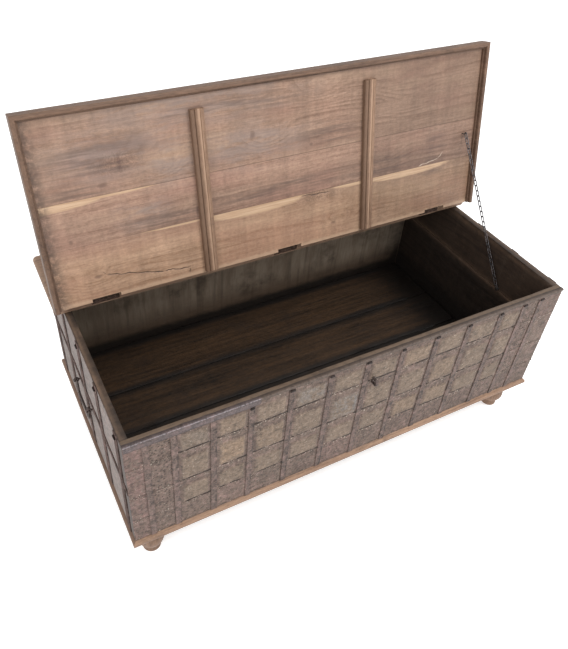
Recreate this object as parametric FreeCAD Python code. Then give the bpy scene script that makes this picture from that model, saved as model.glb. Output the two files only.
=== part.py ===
"""A long wooden storage chest with sheet metal plates and iron straps on its front and ends.

The chest stands on four turned feet under a mitred base frame. Its top is a fixed ledge at the
back and a lid that is hinged to the ledge's front edge and leans open on a stay chain. Lengths are
in millimetres. X runs along the chest, Y from front to back, Z up. The origin is on the floor,
under the middle of the chest.
"""
import FreeCAD, Part
import math
import os

from FreeCAD import Vector

# Walls
body_length = 1320.0
body_depth = 700.0
wall_height = 383.0
wall_thickness = 20.0
upper_board_height = 146.0
board_shrink_gap = 0.4

# Floor and base frame
floor_thickness = 16.0
floor_rise = 4.0
floor_side_gap = 0.5
floor_seam_gap = 2.0
floor_seam_shares = (0.222, 0.458, 0.700)
base_thickness = 28.0
base_reach = 9.0
base_rail_width = 96.0
bearer_width = 60.0
bearer_place_shares = (-0.19, 0.19)

# Turned feet
foot_height = 112.0
foot_inset = 52.0
pad_radius = 25.0
pad_height = 9.0
pad_chamfer = 2.5
sole_waist_radius = 21.0
ball_radius = 36.5
ball_centre_height = 50.0
neck_radius = 21.0
neck_height = 90.0
collar_radius = 31.0
collar_height = 11.0
spigot_radius = 11.0
spigot_length = 11.0
spigot_clearance = 0.2

# Fixed ledge and lid
top_thickness = 21.0
top_overhang = 26.0
ledge_depth = 227.0
ledge_corner_radius = 14.0
nosing_radius = 10.2
hinge_gap = 1.0
lid_rest_gap = 0.3
lid_open_angle = 102.3
rear_plank_share = 0.3288798
middle_plank_share = 0.2446043
plank_seam_gap = 0.4
lip_thickness = 12.0
lip_drop = 16.0
lip_round = 4.0
bead_width = 5.0
bead_drop = 6.0
batten_width = 37.0
batten_height = 12.0
batten_place_shares = (-0.1902, 0.2008)
batten_round = 5.0
batten_groove_width = 3.0
batten_groove_depth = 2.5
batten_groove_offset = 7.5
batten_end_gap = 5.0

# Butt hinges
hinge_length = 76.0
hinge_place_shares = (-0.416, 0.0, 0.407)
leaf_thickness = 2.5
leaf_drop = 18.0
lid_mortise_depth = 9.0
mortise_clearance = 0.5
pin_rise = 2.5
knuckle_radius = 4.0
knuckle_count = 5
knuckle_gap = 0.3
knuckle_clearance = 0.35
pin_radius = 2.0
pin_clearance = 0.05
pin_head_radius = 3.2
pin_head_height = 1.5
pin_head_clearance = 0.2

# Sheet metal on the front and the ends
sheet_thickness = 1.2
sheet_gap = 1.0
panel_rise = 2.4
panel_slope = 5.0
panel_side_margin = 12.0
panel_top_margin = 20.0
panel_bottom_margin = 4.0
front_strap_width = 15.0
end_strap_width = 28.0
strap_thickness = 2.2
front_strap_shares = (0.037, 0.088, 0.162, 0.2365, 0.318, 0.4025, 0.486,
                      0.5685, 0.653, 0.737, 0.8235, 0.891, 0.9395)
front_seam_shares = (0.235, 0.530, 0.776)
end_strap_shares = (0.06, 0.28, 0.50, 0.72, 0.94)
end_band_width = 19.0
end_seam_shares = (0.45,)
edge_strip_thickness = 1.2
edge_strip_seat = 7.0
edge_strip_drop = 6.0
edge_flap_drop = 18.0
edge_flap_length = 337.0

# Lock staple at the middle of the front
staple_bar_radius = 4.0
staple_off_middle = 5.0
staple_leg_spacing = 16.0
staple_above_seam = 4.0
staple_reach = 26.0
staple_seat = 15.0
bar_hole_clearance = 0.25

# Lifting handles on the ends
handle_below_band = 15.0
handle_eye_spacing = 120.0
eye_bar_radius = 2.6
eye_centreline_radius = 6.2
eye_shank_length = 20.0
eye_wall_gap = 0.4
bail_radius = 3.5
bail_pin_radius = 3.0
bail_width = 104.0
bail_drop = 45.0
bail_corner_radius = 12.0
bail_pin_overrun = 8.0

# Stay chain at the right
chain_wire_radius = 1.5
chain_inner_length = 16.9
chain_inner_width = 5.4
chain_clearance = 0.3
chain_open_gap = 0.5
lower_link_count = 11
upper_link_count = 19
chain_wall_offset = 9.5
chain_screw_setback = 189.0
chain_screw_below_rim = 137.0
chain_screw_radius = 2.2
chain_screw_head_radius = 6.0
chain_screw_head_height = 2.6
chain_screw_seat = 14.0
lid_staple_radius = 1.6
lid_staple_standoff = 9.0
lid_staple_width = 13.0
lid_staple_seat = 12.0

# Facets of the forged bars and wires
wire_sides = 6
bar_sides = 8
bend_steps = 5
cut_overrun = 5.0

# Levels and planes worked out from the sizes above
half_length = body_length / 2
half_depth = body_depth / 2
base_top = foot_height + base_thickness
rim_level = base_top + wall_height
top_level = rim_level + top_thickness
board_seam_level = rim_level - upper_board_height
floor_underside = base_top + floor_rise - floor_thickness
inner_half_length = half_length - wall_thickness
inner_half_depth = half_depth - wall_thickness
hinge_y = half_depth - ledge_depth
hinge_z = top_level + pin_rise
top_half_length = half_length + top_overhang
lid_underside = rim_level + lid_rest_gap
lid_topside = lid_underside + top_thickness
lid_rear_y = hinge_y - hinge_gap / 2
ledge_front_y = hinge_y + hinge_gap / 2
lid_front_y = -half_depth - top_overhang
strap_face = sheet_thickness + strap_thickness
skin_top = rim_level - edge_strip_thickness

X_AXIS = Vector(1, 0, 0)
Y_AXIS = Vector(0, 1, 0)
Z_AXIS = Vector(0, 0, 1)


def block(x0, x1, y0, y1, z0, z1):
    """A rectangular block between two corners."""
    return Part.makeBox(x1 - x0, y1 - y0, z1 - z0, Vector(x0, y0, z0))


def rod(radius, start, end):
    """A round rod from one point to another."""
    along = end - start
    return Part.makeCylinder(radius, along.Length, start, along)


def extrude_outline(edges, direction):
    """A solid made by pushing a closed flat outline along a direction."""
    return Part.Face(Part.Wire(Part.__sortEdges__(edges))).extrude(direction)


def polygon_face(points):
    return Part.Face(Part.makePolygon(points + [points[0]]))


def unit_arc(centre, radius, start_deg, end_deg, u, v, steps):
    """Points on an arc in the plane of u and v, both ends included."""
    points = []
    for i in range(steps + 1):
        angle = math.radians(start_deg + (end_deg - start_deg) * i / steps)
        points.append(centre + u * (radius * math.cos(angle)) + v * (radius * math.sin(angle)))
    return points


def faceted_bar(points, normal, radius, sides, closed=False):
    """A bar of many-sided section along a flat path, mitred where the path turns.

    Each corner of the section lies on the plane that halves the turn, so every facet is flat.
    """
    count = len(points)
    spans = count if closed else count - 1
    runs = []
    for i in range(spans):
        run = points[(i + 1) % count] - points[i]
        run.normalize()
        runs.append(run)
    rings = []
    for i in range(count):
        before = runs[i - 1] if (closed or i > 0) else runs[0]
        after = runs[i % spans] if (closed or i < count - 1) else runs[-1]
        side_before = before.cross(normal)
        side_after = after.cross(normal)
        side = side_before + side_after
        side.normalize()
        stretch = 1 / side.dot(side_after)
        ring = []
        for k in range(sides):
            angle = 2 * math.pi * (k + 0.5) / sides
            offset = side * (radius * stretch * math.cos(angle)) + normal * (radius * math.sin(angle))
            ring.append(points[i] + offset)
        rings.append(ring)
    faces = []
    for i in range(spans):
        near = rings[i]
        far = rings[(i + 1) % count]
        for k in range(sides):
            j = (k + 1) % sides
            faces.append(polygon_face([near[k], near[j], far[j], far[k]]))
    if not closed:
        faces.append(polygon_face(rings[0]))
        faces.append(polygon_face(rings[-1]))
    solid = Part.Solid(Part.Shell(faces))
    if solid.Volume < 0:
        solid.reverse()
    return solid


def open_lid(shape):
    """Turn a lid piece from the closed place, in which it is drawn, to the open one."""
    turned = shape.copy()
    turned.rotate(Vector(0, hinge_y, hinge_z), X_AXIS, -lid_open_angle)
    return turned


def open_lid_point(point):
    angle = math.radians(lid_open_angle)
    y = point.y - hinge_y
    z = point.z - hinge_z
    turned_y = y * math.cos(angle) + z * math.sin(angle)
    turned_z = -y * math.sin(angle) + z * math.cos(angle)
    return Vector(point.x, hinge_y + turned_y, hinge_z + turned_z)


# Walls


def wall_boards():
    """Two boards a side: the front and back boards run the full length over the end boards."""
    levels = {"lower": (base_top, board_seam_level - board_shrink_gap / 2),
              "upper": (board_seam_level + board_shrink_gap / 2, rim_level)}
    boards = {}
    for name, (z0, z1) in levels.items():
        boards["wall_front_%s_board" % name] = block(
            -half_length, half_length, -half_depth, -inner_half_depth, z0, z1)
        boards["wall_back_%s_board" % name] = block(
            -half_length, half_length, inner_half_depth, half_depth, z0, z1)
        boards["wall_left_%s_board" % name] = block(
            -half_length, -inner_half_length, -inner_half_depth, inner_half_depth, z0, z1)
        boards["wall_right_%s_board" % name] = block(
            inner_half_length, half_length, -inner_half_depth, inner_half_depth, z0, z1)
    rebate = block(-half_length - cut_overrun, half_length + cut_overrun,
                   -half_depth - cut_overrun, -half_depth + edge_strip_seat,
                   skin_top, rim_level + cut_overrun)
    front = boards["wall_front_upper_board"].cut(rebate)
    boards["wall_front_upper_board"] = front.cut(staple_holes())
    screw_hole = rod(chain_screw_radius + bar_hole_clearance, chain_screw_centre() - X_AXIS * chain_wall_offset,
                     chain_screw_tip() + X_AXIS * bar_hole_clearance)
    boards["wall_right_upper_board"] = boards["wall_right_upper_board"].cut(screw_hole)
    for side in (-1, 1):
        name = "wall_left_lower_board" if side < 0 else "wall_right_lower_board"
        boards[name] = boards[name].cut(eye_holes(side))
    return boards


# Floor and base


def floor_boards():
    """Boards that lie in the base frame's rabbet, with open seams between them."""
    half = inner_half_length - floor_side_gap
    front = -inner_half_depth + floor_side_gap
    back = inner_half_depth - floor_side_gap
    seams = [front + share * (back - front) for share in floor_seam_shares]
    starts = [front] + [seam + floor_seam_gap / 2 for seam in seams]
    ends = [seam - floor_seam_gap / 2 for seam in seams] + [back]
    names = ("front", "second", "third", "back")
    boards = {}
    for name, y0, y1 in zip(names, starts, ends):
        boards["floor_board_" + name] = block(
            -half, half, y0, y1, floor_underside, floor_underside + floor_thickness)
    return boards


def rail_outline(along):
    """The base rail's section: a flat board with a half-round outer edge and a rabbet inside."""
    radius = base_thickness / 2
    outer = half_depth + base_reach
    inner = outer - base_rail_width
    straight = outer - radius
    middle = foot_height + radius

    def point(distance, level):
        return Vector(along.x, along.y - distance, level)

    corners = [point(straight, foot_height), point(inner, foot_height),
               point(inner, floor_underside), point(inner_half_depth, floor_underside),
               point(inner_half_depth, base_top), point(straight, base_top)]
    edges = [Part.LineSegment(a, b).toShape() for a, b in zip(corners, corners[1:])]
    edges.append(Part.Arc(corners[-1], point(outer, middle), corners[0]).toShape())
    return edges


def mitre_wedge(half_x, half_y, reach):
    """The region in front of the two lines that run in at 45 degrees from the front corners."""
    tip = half_x
    points = [Vector(-half_x - reach, -half_y - reach, 0), Vector(half_x + reach, -half_y - reach, 0),
              Vector(half_x - tip, -half_y + tip, 0)]
    face = polygon_face(points)
    return face.extrude(Z_AXIS * (top_level + top_thickness))


def base_rails():
    """Four rails mitred at the corners, bored for the feet."""
    outer_x = half_length + base_reach
    outer_y = half_depth + base_reach
    spare = base_rail_width
    long_rail = extrude_outline(rail_outline(Vector(-outer_x - spare, 0, 0)),
                                X_AXIS * (2 * outer_x + 2 * spare))
    front = long_rail.common(mitre_wedge(outer_x, outer_y, spare))
    shift = half_length - half_depth
    end_rail = extrude_outline(rail_outline(Vector(-outer_y - spare, -shift, 0)),
                               X_AXIS * (2 * outer_y + 2 * spare))
    end_rail = end_rail.common(end_wedge(outer_x, outer_y, spare))
    rails = {"base_rail_front": front}
    rails["base_rail_back"] = turned_about_z(front, 180)
    rails["base_rail_left"] = turned_about_z(end_rail, -90)
    rails["base_rail_right"] = turned_about_z(end_rail, 90)
    for place in foot_places().values():
        bore = rod(spigot_radius + spigot_clearance, place - Z_AXIS * cut_overrun,
                   place + Z_AXIS * (spigot_length + spigot_clearance))
        for name in rails:
            rails[name] = rails[name].cut(bore)
    return rails


def end_wedge(outer_x, outer_y, reach):
    """The mitre wedge of an end rail while that rail still lies along X."""
    points = [Vector(-outer_y - reach, -outer_x - reach, 0), Vector(outer_y + reach, -outer_x - reach, 0),
              Vector(0, -outer_x + outer_y, 0)]
    return polygon_face(points).extrude(Z_AXIS * (top_level + top_thickness))


def turned_about_z(shape, degrees):
    turned = shape.copy()
    turned.rotate(Vector(0, 0, 0), Z_AXIS, degrees)
    return turned


def floor_bearers():
    """Cross bearers under the floor, between the front and back rails."""
    half = half_depth + base_reach - base_rail_width
    bearers = {}
    for name, share in zip(("left", "right"), bearer_place_shares):
        x = share * body_length
        bearers["floor_bearer_" + name] = block(x - bearer_width / 2, x + bearer_width / 2, -half, half,
                                                foot_height, floor_underside)
    return bearers


def foot_places():
    """The top centre of each foot, on the underside of the base frame."""
    x = half_length - foot_inset
    y = half_depth - foot_inset
    places = {}
    for end, sx in (("left", -1), ("right", 1)):
        for side, sy in (("front", -1), ("back", 1)):
            places["foot_%s_%s" % (side, end)] = Vector(sx * x, sy * y, foot_height)
    return places


def turned_foot(place):
    """A turned foot: a small sole pad, a full ball, a hollow neck, a collar and a spigot."""
    def at(radius, level):
        return Vector(radius, 0, level)

    def on_ball(radius, side):
        return ball_centre_height + side * math.sqrt(ball_radius ** 2 - radius ** 2)

    waist_level = on_ball(sole_waist_radius, -1)
    neck_start = on_ball(neck_radius, 1)
    collar_start = foot_height - collar_height
    collar_middle = foot_height - collar_height / 2
    bulge = collar_radius - collar_height / 2
    neck_bow = neck_radius - (neck_height - neck_start) / 2
    pad_top = min(pad_height, waist_level)
    lines = [(at(0, 0), at(pad_radius - pad_chamfer, 0)),
             (at(pad_radius - pad_chamfer, 0), at(pad_radius, pad_chamfer)),
             (at(pad_radius, pad_chamfer), at(pad_radius, pad_top - pad_chamfer)),
             (at(pad_radius, pad_top - pad_chamfer), at(sole_waist_radius, waist_level)),
             (at(neck_radius, neck_height), at(bulge, collar_start)),
             (at(bulge, foot_height), at(spigot_radius, foot_height)),
             (at(spigot_radius, foot_height), at(spigot_radius, foot_height + spigot_length)),
             (at(spigot_radius, foot_height + spigot_length), at(0, foot_height + spigot_length)),
             (at(0, foot_height + spigot_length), at(0, 0))]
    edges = [Part.LineSegment(a, b).toShape() for a, b in lines]
    edges.append(Part.Arc(at(sole_waist_radius, waist_level), at(ball_radius, ball_centre_height),
                          at(neck_radius, neck_start)).toShape())
    edges.append(Part.Arc(at(neck_radius, neck_start), at(neck_bow, (neck_start + neck_height) / 2),
                          at(neck_radius, neck_height)).toShape())
    edges.append(Part.Arc(at(bulge, collar_start), at(collar_radius, collar_middle),
                          at(bulge, foot_height)).toShape())
    outline = Part.Face(Part.Wire(Part.__sortEdges__(edges)))
    foot = outline.revolve(Vector(0, 0, 0), Z_AXIS, 360)
    foot.translate(Vector(place.x, place.y, 0))
    return foot


# Ledge and lid


def hinge_places():
    return [share * body_length for share in hinge_place_shares]


def rear_ledge():
    """The fixed top board, with a half-round nosing on its ends and back."""
    board = block(-top_half_length, top_half_length, ledge_front_y, half_depth + top_overhang,
                  rim_level, top_level)
    back = half_depth + top_overhang
    upright = [edge for edge in board.Edges
               if abs(edge.BoundBox.ZLength - top_thickness) < cut_overrun
               and edge.BoundBox.YMin > back - cut_overrun]
    board = board.makeFillet(ledge_corner_radius, upright)
    rim_edges = [edge for edge in board.Edges
                 if edge.BoundBox.ZLength < cut_overrun and edge.BoundBox.YMax > ledge_front_y + cut_overrun]
    board = board.makeFillet(nosing_radius, rim_edges)
    half = hinge_length / 2 + mortise_clearance
    for x in hinge_places():
        depth = leaf_thickness + mortise_clearance
        board = board.cut(block(x - half, x + half, ledge_front_y - cut_overrun, ledge_front_y + depth,
                                top_level - leaf_drop - mortise_clearance, top_level + cut_overrun))
    return board


def lid_planks():
    """Three planks side by side between the end lips; the rear one is mortised for the hinges."""
    half = top_half_length - lip_thickness
    span = lid_rear_y - lid_front_y - lip_thickness
    middle_start = lid_rear_y - rear_plank_share * span
    front_start = middle_start - middle_plank_share * span
    gap = plank_seam_gap / 2
    spans = {"lid_plank_rear": (middle_start + gap, lid_rear_y),
             "lid_plank_middle": (front_start + gap, middle_start - gap),
             "lid_plank_front": (lid_front_y + lip_thickness, front_start - gap)}
    planks = {}
    for name, (y0, y1) in spans.items():
        planks[name] = block(-half, half, y0, y1, lid_underside, lid_topside)
    width = hinge_length / 2 + mortise_clearance
    for x in hinge_places():
        notch = block(x - width, x + width, lid_rear_y - lid_mortise_depth, lid_rear_y + cut_overrun,
                      lid_underside - cut_overrun, lid_topside + cut_overrun)
        planks["lid_plank_rear"] = planks["lid_plank_rear"].cut(notch)
    for name in planks:
        planks[name] = planks[name].cut(lid_staple_holes())
    return planks


def lip_outline(origin, out, along_reach):
    """The lip's section: a board on edge, rounded below outside, with a small bead inside."""
    inner = along_reach - lip_thickness

    def point(distance, level):
        return origin + out * distance + Z_AXIS * level

    bottom = lid_underside - lip_drop
    bead = lid_underside - bead_drop
    corners = [point(inner, lid_topside), point(along_reach, lid_topside),
               point(along_reach, bottom + lip_round), point(along_reach - lip_round, bottom),
               point(inner + lip_round, bottom), point(inner, bottom + lip_round),
               point(inner, bead), point(inner - bead_width, bead),
               point(inner - bead_width, lid_underside), point(inner, lid_underside)]
    slope = lip_round * (1 - math.sqrt(0.5))
    outer_mid = point(along_reach - slope, bottom + slope)
    inner_mid = point(inner + slope, bottom + slope)
    edges = []
    for i, corner in enumerate(corners):
        following = corners[(i + 1) % len(corners)]
        if i == 2:
            edges.append(Part.Arc(corner, outer_mid, following).toShape())
        elif i == 4:
            edges.append(Part.Arc(corner, inner_mid, following).toShape())
        else:
            edges.append(Part.LineSegment(corner, following).toShape())
    return edges


def lid_lips():
    """The lips that hang below the lid's ends and front, mitred at the front corners."""
    reach_y = -lid_front_y
    spare = lip_thickness + bead_width
    start = Vector(-top_half_length - spare, 0, 0)
    front = extrude_outline(lip_outline(start, -Y_AXIS, reach_y), X_AXIS * (2 * top_half_length + 2 * spare))
    depth = top_half_length
    wedge = polygon_face([Vector(-top_half_length - spare, -reach_y - spare, 0),
                          Vector(top_half_length + spare, -reach_y - spare, 0),
                          Vector(0, -reach_y + depth, 0)])
    wedge = wedge.extrude(Z_AXIS * (lid_topside + cut_overrun))
    front = front.common(wedge)
    left = extrude_outline(lip_outline(Vector(0, lid_front_y - spare, 0), -X_AXIS, top_half_length),
                           Y_AXIS * (lid_rear_y - lid_front_y + spare))
    left = left.cut(wedge)
    right = left.mirror(Vector(0, 0, 0), X_AXIS)
    return {"lid_lip_front": front, "lid_lip_left": left, "lid_lip_right": right}


def lid_batten(x):
    """A batten across the underside, rounded on both sides, with two grooves along its face."""
    half = batten_width / 2
    bottom = lid_underside - batten_height
    y0 = -inner_half_depth + batten_end_gap
    y1 = lid_rear_y - batten_end_gap
    slope = batten_round * (1 - math.sqrt(0.5))

    def point(across, level):
        return Vector(x + across, y0, level)

    edges = [Part.LineSegment(point(-half, lid_underside), point(half, lid_underside)).toShape(),
             Part.LineSegment(point(half, lid_underside), point(half, bottom + batten_round)).toShape(),
             Part.Arc(point(half, bottom + batten_round), point(half - slope, bottom + slope),
                      point(half - batten_round, bottom)).toShape(),
             Part.LineSegment(point(half - batten_round, bottom),
                              point(-half + batten_round, bottom)).toShape(),
             Part.Arc(point(-half + batten_round, bottom), point(-half + slope, bottom + slope),
                      point(-half, bottom + batten_round)).toShape(),
             Part.LineSegment(point(-half, bottom + batten_round),
                              point(-half, lid_underside)).toShape()]
    batten = extrude_outline(edges, Y_AXIS * (y1 - y0))
    for side in (-1, 1):
        centre = side * batten_groove_offset
        groove = polygon_face([point(centre - batten_groove_width / 2, bottom - cut_overrun),
                               point(centre - batten_groove_width / 2, bottom),
                               point(centre, bottom + batten_groove_depth),
                               point(centre + batten_groove_width / 2, bottom),
                               point(centre + batten_groove_width / 2, bottom - cut_overrun)])
        batten = batten.cut(groove.extrude(Y_AXIS * (y1 - y0)))
    return batten


# Hinges


def knuckle_span(x, index, gap):
    """Where one knuckle starts and ends along the hinge pin, between the pin's heads."""
    barrel = hinge_length - 2 * pin_head_height
    pitch = barrel / knuckle_count
    start = x - barrel / 2 + index * pitch
    return start + gap / 2, start + pitch - gap / 2


def pin_rod(radius, x0, x1):
    return rod(radius, Vector(x0, hinge_y, hinge_z), Vector(x1, hinge_y, hinge_z))


def hinge_leaf(x, plate, own, other):
    """A leaf's plate with its own knuckles, cleared round the other leaf's and bored for the pin."""
    leaf = plate
    for index in other:
        leaf = leaf.cut(pin_rod(knuckle_radius + knuckle_clearance, *knuckle_span(x, index, 0)))
    for side in (-1, 1):
        tip = x + side * hinge_length / 2
        inner = tip - side * pin_head_height
        leaf = leaf.cut(pin_rod(pin_head_radius + pin_head_clearance, inner, tip))
    for index in own:
        leaf = leaf.fuse(pin_rod(knuckle_radius, *knuckle_span(x, index, knuckle_gap)))
    bore = pin_rod(pin_radius + pin_clearance, x - hinge_length, x + hinge_length)
    return leaf.cut(bore).removeSplitter()


def hinge(x):
    """The ledge leaf, the lid leaf and the pin of one butt hinge, drawn closed."""
    half = hinge_length / 2
    own_ledge = range(0, knuckle_count, 2)
    own_lid = range(1, knuckle_count, 2)
    seat_y = ledge_front_y + mortise_clearance
    ledge_plate = block(x - half, x + half, seat_y, seat_y + leaf_thickness,
                        top_level - leaf_drop, top_level)
    floor_y = lid_rear_y - lid_mortise_depth
    lid_plate = block(x - half, x + half, floor_y, floor_y + leaf_thickness,
                      lid_topside - leaf_drop, lid_topside)
    flange = block(x - half, x + half, floor_y, hinge_y - knuckle_radius - knuckle_clearance,
                   lid_topside - leaf_thickness, lid_topside)
    lid_plate = lid_plate.fuse(flange)
    for index in own_lid:
        x0, x1 = knuckle_span(x, index, knuckle_gap)
        lid_plate = lid_plate.fuse(block(x0, x1, floor_y, hinge_y,
                                         lid_topside - leaf_thickness, lid_topside))
    leaf_on_ledge = hinge_leaf(x, ledge_plate, own_ledge, own_lid)
    leaf_on_lid = hinge_leaf(x, lid_plate, own_lid, own_ledge)
    pin = pin_rod(pin_radius, x - half, x + half)
    for side in (-1, 1):
        tip = x + side * half
        pin = pin.fuse(pin_rod(pin_head_radius, tip - side * pin_head_height, tip))
    return leaf_on_ledge, leaf_on_lid, pin.removeSplitter()


# Sheet metal


def plate(x0, x1, z0, z1, raised):
    """A flat plate on the plane y = 0, facing -Y, with a raised square panel if it has one."""
    sheet = block(x0, x1, -sheet_thickness, 0, z0, z1)
    if not raised:
        return sheet
    rims = []
    for inset, level in ((0, sheet_thickness / 2), (0, sheet_thickness),
                         (panel_slope, sheet_thickness + panel_rise)):
        side = panel_side_margin + inset
        low = z0 + panel_bottom_margin + inset
        high = z1 - panel_top_margin - inset
        corners = [Vector(x0 + side, -level, low), Vector(x1 - side, -level, low),
                   Vector(x1 - side, -level, high), Vector(x0 + side, -level, high)]
        rims.append(Part.makePolygon(corners + [corners[0]]))
    panel = Part.makeLoft(rims, True, True)
    return sheet.fuse(panel).removeSplitter()


def row_levels(shares):
    """The levels between the rows of plates, from the rim down to the base frame."""
    return [skin_top] + [rim_level - share * wall_height for share in shares] + [base_top]


def front_strap_places():
    return [-half_length + share * body_length for share in front_strap_shares]


def front_plates():
    """The rows of plates between the straps. The wide columns have raised panels in three rows."""
    places = front_strap_places()
    edges = [-half_length - sheet_thickness] + places + [half_length + sheet_thickness]
    levels = row_levels(front_seam_shares)
    names = ("top", "second", "third", "bottom")
    narrow = (0, 1, len(edges) - 3, len(edges) - 2)
    holes = staple_holes()
    rows = {}
    for row, name in enumerate(names):
        plates = []
        for column in range(len(edges) - 1):
            x0 = edges[column] + (sheet_gap / 2 if column else 0)
            x1 = edges[column + 1] - (sheet_gap / 2 if column < len(edges) - 2 else 0)
            raised = column not in narrow and row < len(names) - 1
            sheet = plate(x0, x1, levels[row + 1] + sheet_gap / 2, levels[row] - sheet_gap / 2, raised)
            sheet.translate(Vector(0, -half_depth, 0))
            if x0 < staple_off_middle < x1:
                sheet = sheet.cut(holes)
            plates.append(sheet)
        rows["front_plates_%s_row" % name] = Part.makeCompound(plates)
    return rows


def strap(x, width, top):
    return block(x - width / 2, x + width / 2, -strap_face, -sheet_thickness, base_top, top)


def front_straps():
    straps = [strap(x, front_strap_width, skin_top) for x in front_strap_places()]
    skin = Part.makeCompound(straps)
    skin.translate(Vector(0, -half_depth, 0))
    return skin


def end_strap_places():
    return [-half_depth + share * body_depth for share in end_strap_shares]


def end_skin(side):
    """The plates of one end, and its upright straps with the level band between them.

    They are drawn as a front and turned to the end.
    """
    places = end_strap_places()
    edges = [-half_depth] + places + [half_depth]
    levels = row_levels(end_seam_shares)
    plates = []
    for column in range(len(edges) - 1):
        for row in range(len(levels) - 1):
            x0 = edges[column] + (sheet_gap / 2 if column else 0)
            x1 = edges[column + 1] - (sheet_gap / 2 if column < len(edges) - 2 else 0)
            plates.append(plate(x0, x1, levels[row + 1] + sheet_gap / 2, levels[row] - sheet_gap / 2, False))
    straps = [strap(x, end_strap_width, skin_top) for x in places]
    inner_edges = [x + side_sign * end_strap_width / 2 for x in places for side_sign in (-1, 1)]
    ends = [-half_depth] + inner_edges + [half_depth]
    band = levels[1]
    for x0, x1 in zip(ends[0::2], ends[1::2]):
        straps.append(block(x0 + sheet_gap / 2, x1 - sheet_gap / 2, -strap_face, -sheet_thickness,
                            band - end_band_width / 2, band + end_band_width / 2))
    skins = []
    for solids in (plates, straps):
        skin = Part.makeCompound(solids)
        skin.translate(Vector(0, -half_length, 0))
        skins.append(turned_about_z(skin, 90 * side))
    holes = eye_holes(side)
    skins[0] = Part.makeCompound([solid.cut(holes).Solids[0] for solid in skins[0].Solids])
    return skins


def front_edge_strip():
    """The folded strip along the front rim. Its flap hangs lower over the left quarter."""
    outer = half_depth + strap_face + edge_strip_thickness
    top = block(-half_length, half_length, -outer, -half_depth + edge_strip_seat, skin_top, rim_level)
    flap = block(-half_length, half_length, -outer, -outer + edge_strip_thickness,
                 rim_level - edge_strip_drop, rim_level)
    deep = block(-half_length, -half_length + edge_flap_length, -outer, -outer + edge_strip_thickness,
                 rim_level - edge_flap_drop, rim_level)
    return top.fuse([flap, deep]).removeSplitter()


# Lock staple


def staple_centre():
    seam_level = rim_level - front_seam_shares[0] * wall_height
    return Vector(staple_off_middle, -half_depth, seam_level + staple_above_seam)


def lock_staple():
    """A forged loop that stands out of the front, with its two legs driven into the board."""
    centre = staple_centre()
    half = staple_leg_spacing / 2
    nose = -Y_AXIS * (staple_reach - staple_bar_radius - half)
    root = Y_AXIS * staple_seat
    points = [centre + root - Z_AXIS * half]
    points += unit_arc(centre + nose, half, -90, 90, -Y_AXIS, Z_AXIS, 2 * bend_steps)
    points.append(centre + root + Z_AXIS * half)
    return faceted_bar(points, X_AXIS, staple_bar_radius, bar_sides)


def staple_holes():
    centre = staple_centre()
    holes = []
    for side in (-1, 1):
        axis = centre + Z_AXIS * (side * staple_leg_spacing / 2)
        holes.append(rod(staple_bar_radius + bar_hole_clearance, axis - Y_AXIS * cut_overrun,
                         axis + Y_AXIS * (staple_seat + bar_hole_clearance)))
    return Part.makeCompound(holes)


# Handles


def eye_standoff():
    """How far the middle of a handle eye stands from the wall's outer face."""
    return strap_face + eye_wall_gap + eye_centreline_radius + eye_bar_radius


def eye_centres(side):
    x = side * (half_length + eye_standoff())
    z = rim_level - end_seam_shares[0] * wall_height - handle_below_band
    return [Vector(x, y, z) for y in (-handle_eye_spacing / 2, handle_eye_spacing / 2)]


def handle_eyes(side):
    """Two eyes whose shanks are driven through the plates into the end board."""
    eyes = []
    for centre in eye_centres(side):
        ring_points = unit_arc(centre, eye_centreline_radius, 0, 360, X_AXIS, Z_AXIS, 2 * bend_steps)[:-1]
        ring = faceted_bar(ring_points, Y_AXIS, eye_bar_radius, bar_sides, closed=True)
        root = centre - X_AXIS * (side * eye_centreline_radius)
        shank = rod(eye_bar_radius, root, root - X_AXIS * (side * eye_shank_length))
        eyes.append(ring.fuse(shank))
    return Part.makeCompound(eyes)


def eye_holes(side):
    holes = []
    for centre in eye_centres(side):
        root = centre - X_AXIS * (side * eye_centreline_radius)
        holes.append(rod(eye_bar_radius + bar_hole_clearance, root,
                         root - X_AXIS * (side * (eye_shank_length + bar_hole_clearance))))
    return Part.makeCompound(holes)


def handle_bail(side):
    """A hanging bail whose turned ends pass outwards through the two eyes."""
    near, far = eye_centres(side)
    half = bail_width / 2
    middle = (near + far) * 0.5
    radius = bail_corner_radius
    left_low = middle - Y_AXIS * (half - radius) - Z_AXIS * (bail_drop - radius)
    right_low = middle + Y_AXIS * (half - radius) - Z_AXIS * (bail_drop - radius)
    points = [middle - Y_AXIS * half + Z_AXIS * bail_pin_radius]
    points += unit_arc(left_low, radius, 180, 270, Y_AXIS, Z_AXIS, bend_steps)
    points += unit_arc(right_low, radius, 270, 360, Y_AXIS, Z_AXIS, bend_steps)
    points.append(middle + Y_AXIS * half + Z_AXIS * bail_pin_radius)
    bail = faceted_bar(points, X_AXIS, bail_radius, bar_sides)
    reach = handle_eye_spacing / 2 + bail_pin_overrun
    for sign in (-1, 1):
        pin = rod(bail_pin_radius, middle + Y_AXIS * (sign * half), middle + Y_AXIS * (sign * reach))
        bail = bail.fuse(pin)
    return bail


# Stay chain


def chain_screw_centre():
    """The middle of the first link's seat on the screw in the right-hand wall."""
    return Vector(inner_half_length - chain_wall_offset, -half_depth + chain_screw_setback,
                  rim_level - chain_screw_below_rim)


def chain_screw_tip():
    return chain_screw_centre() + X_AXIS * (chain_wall_offset + chain_screw_seat)


def chain_link_pitch():
    return chain_inner_length - chain_clearance


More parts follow.
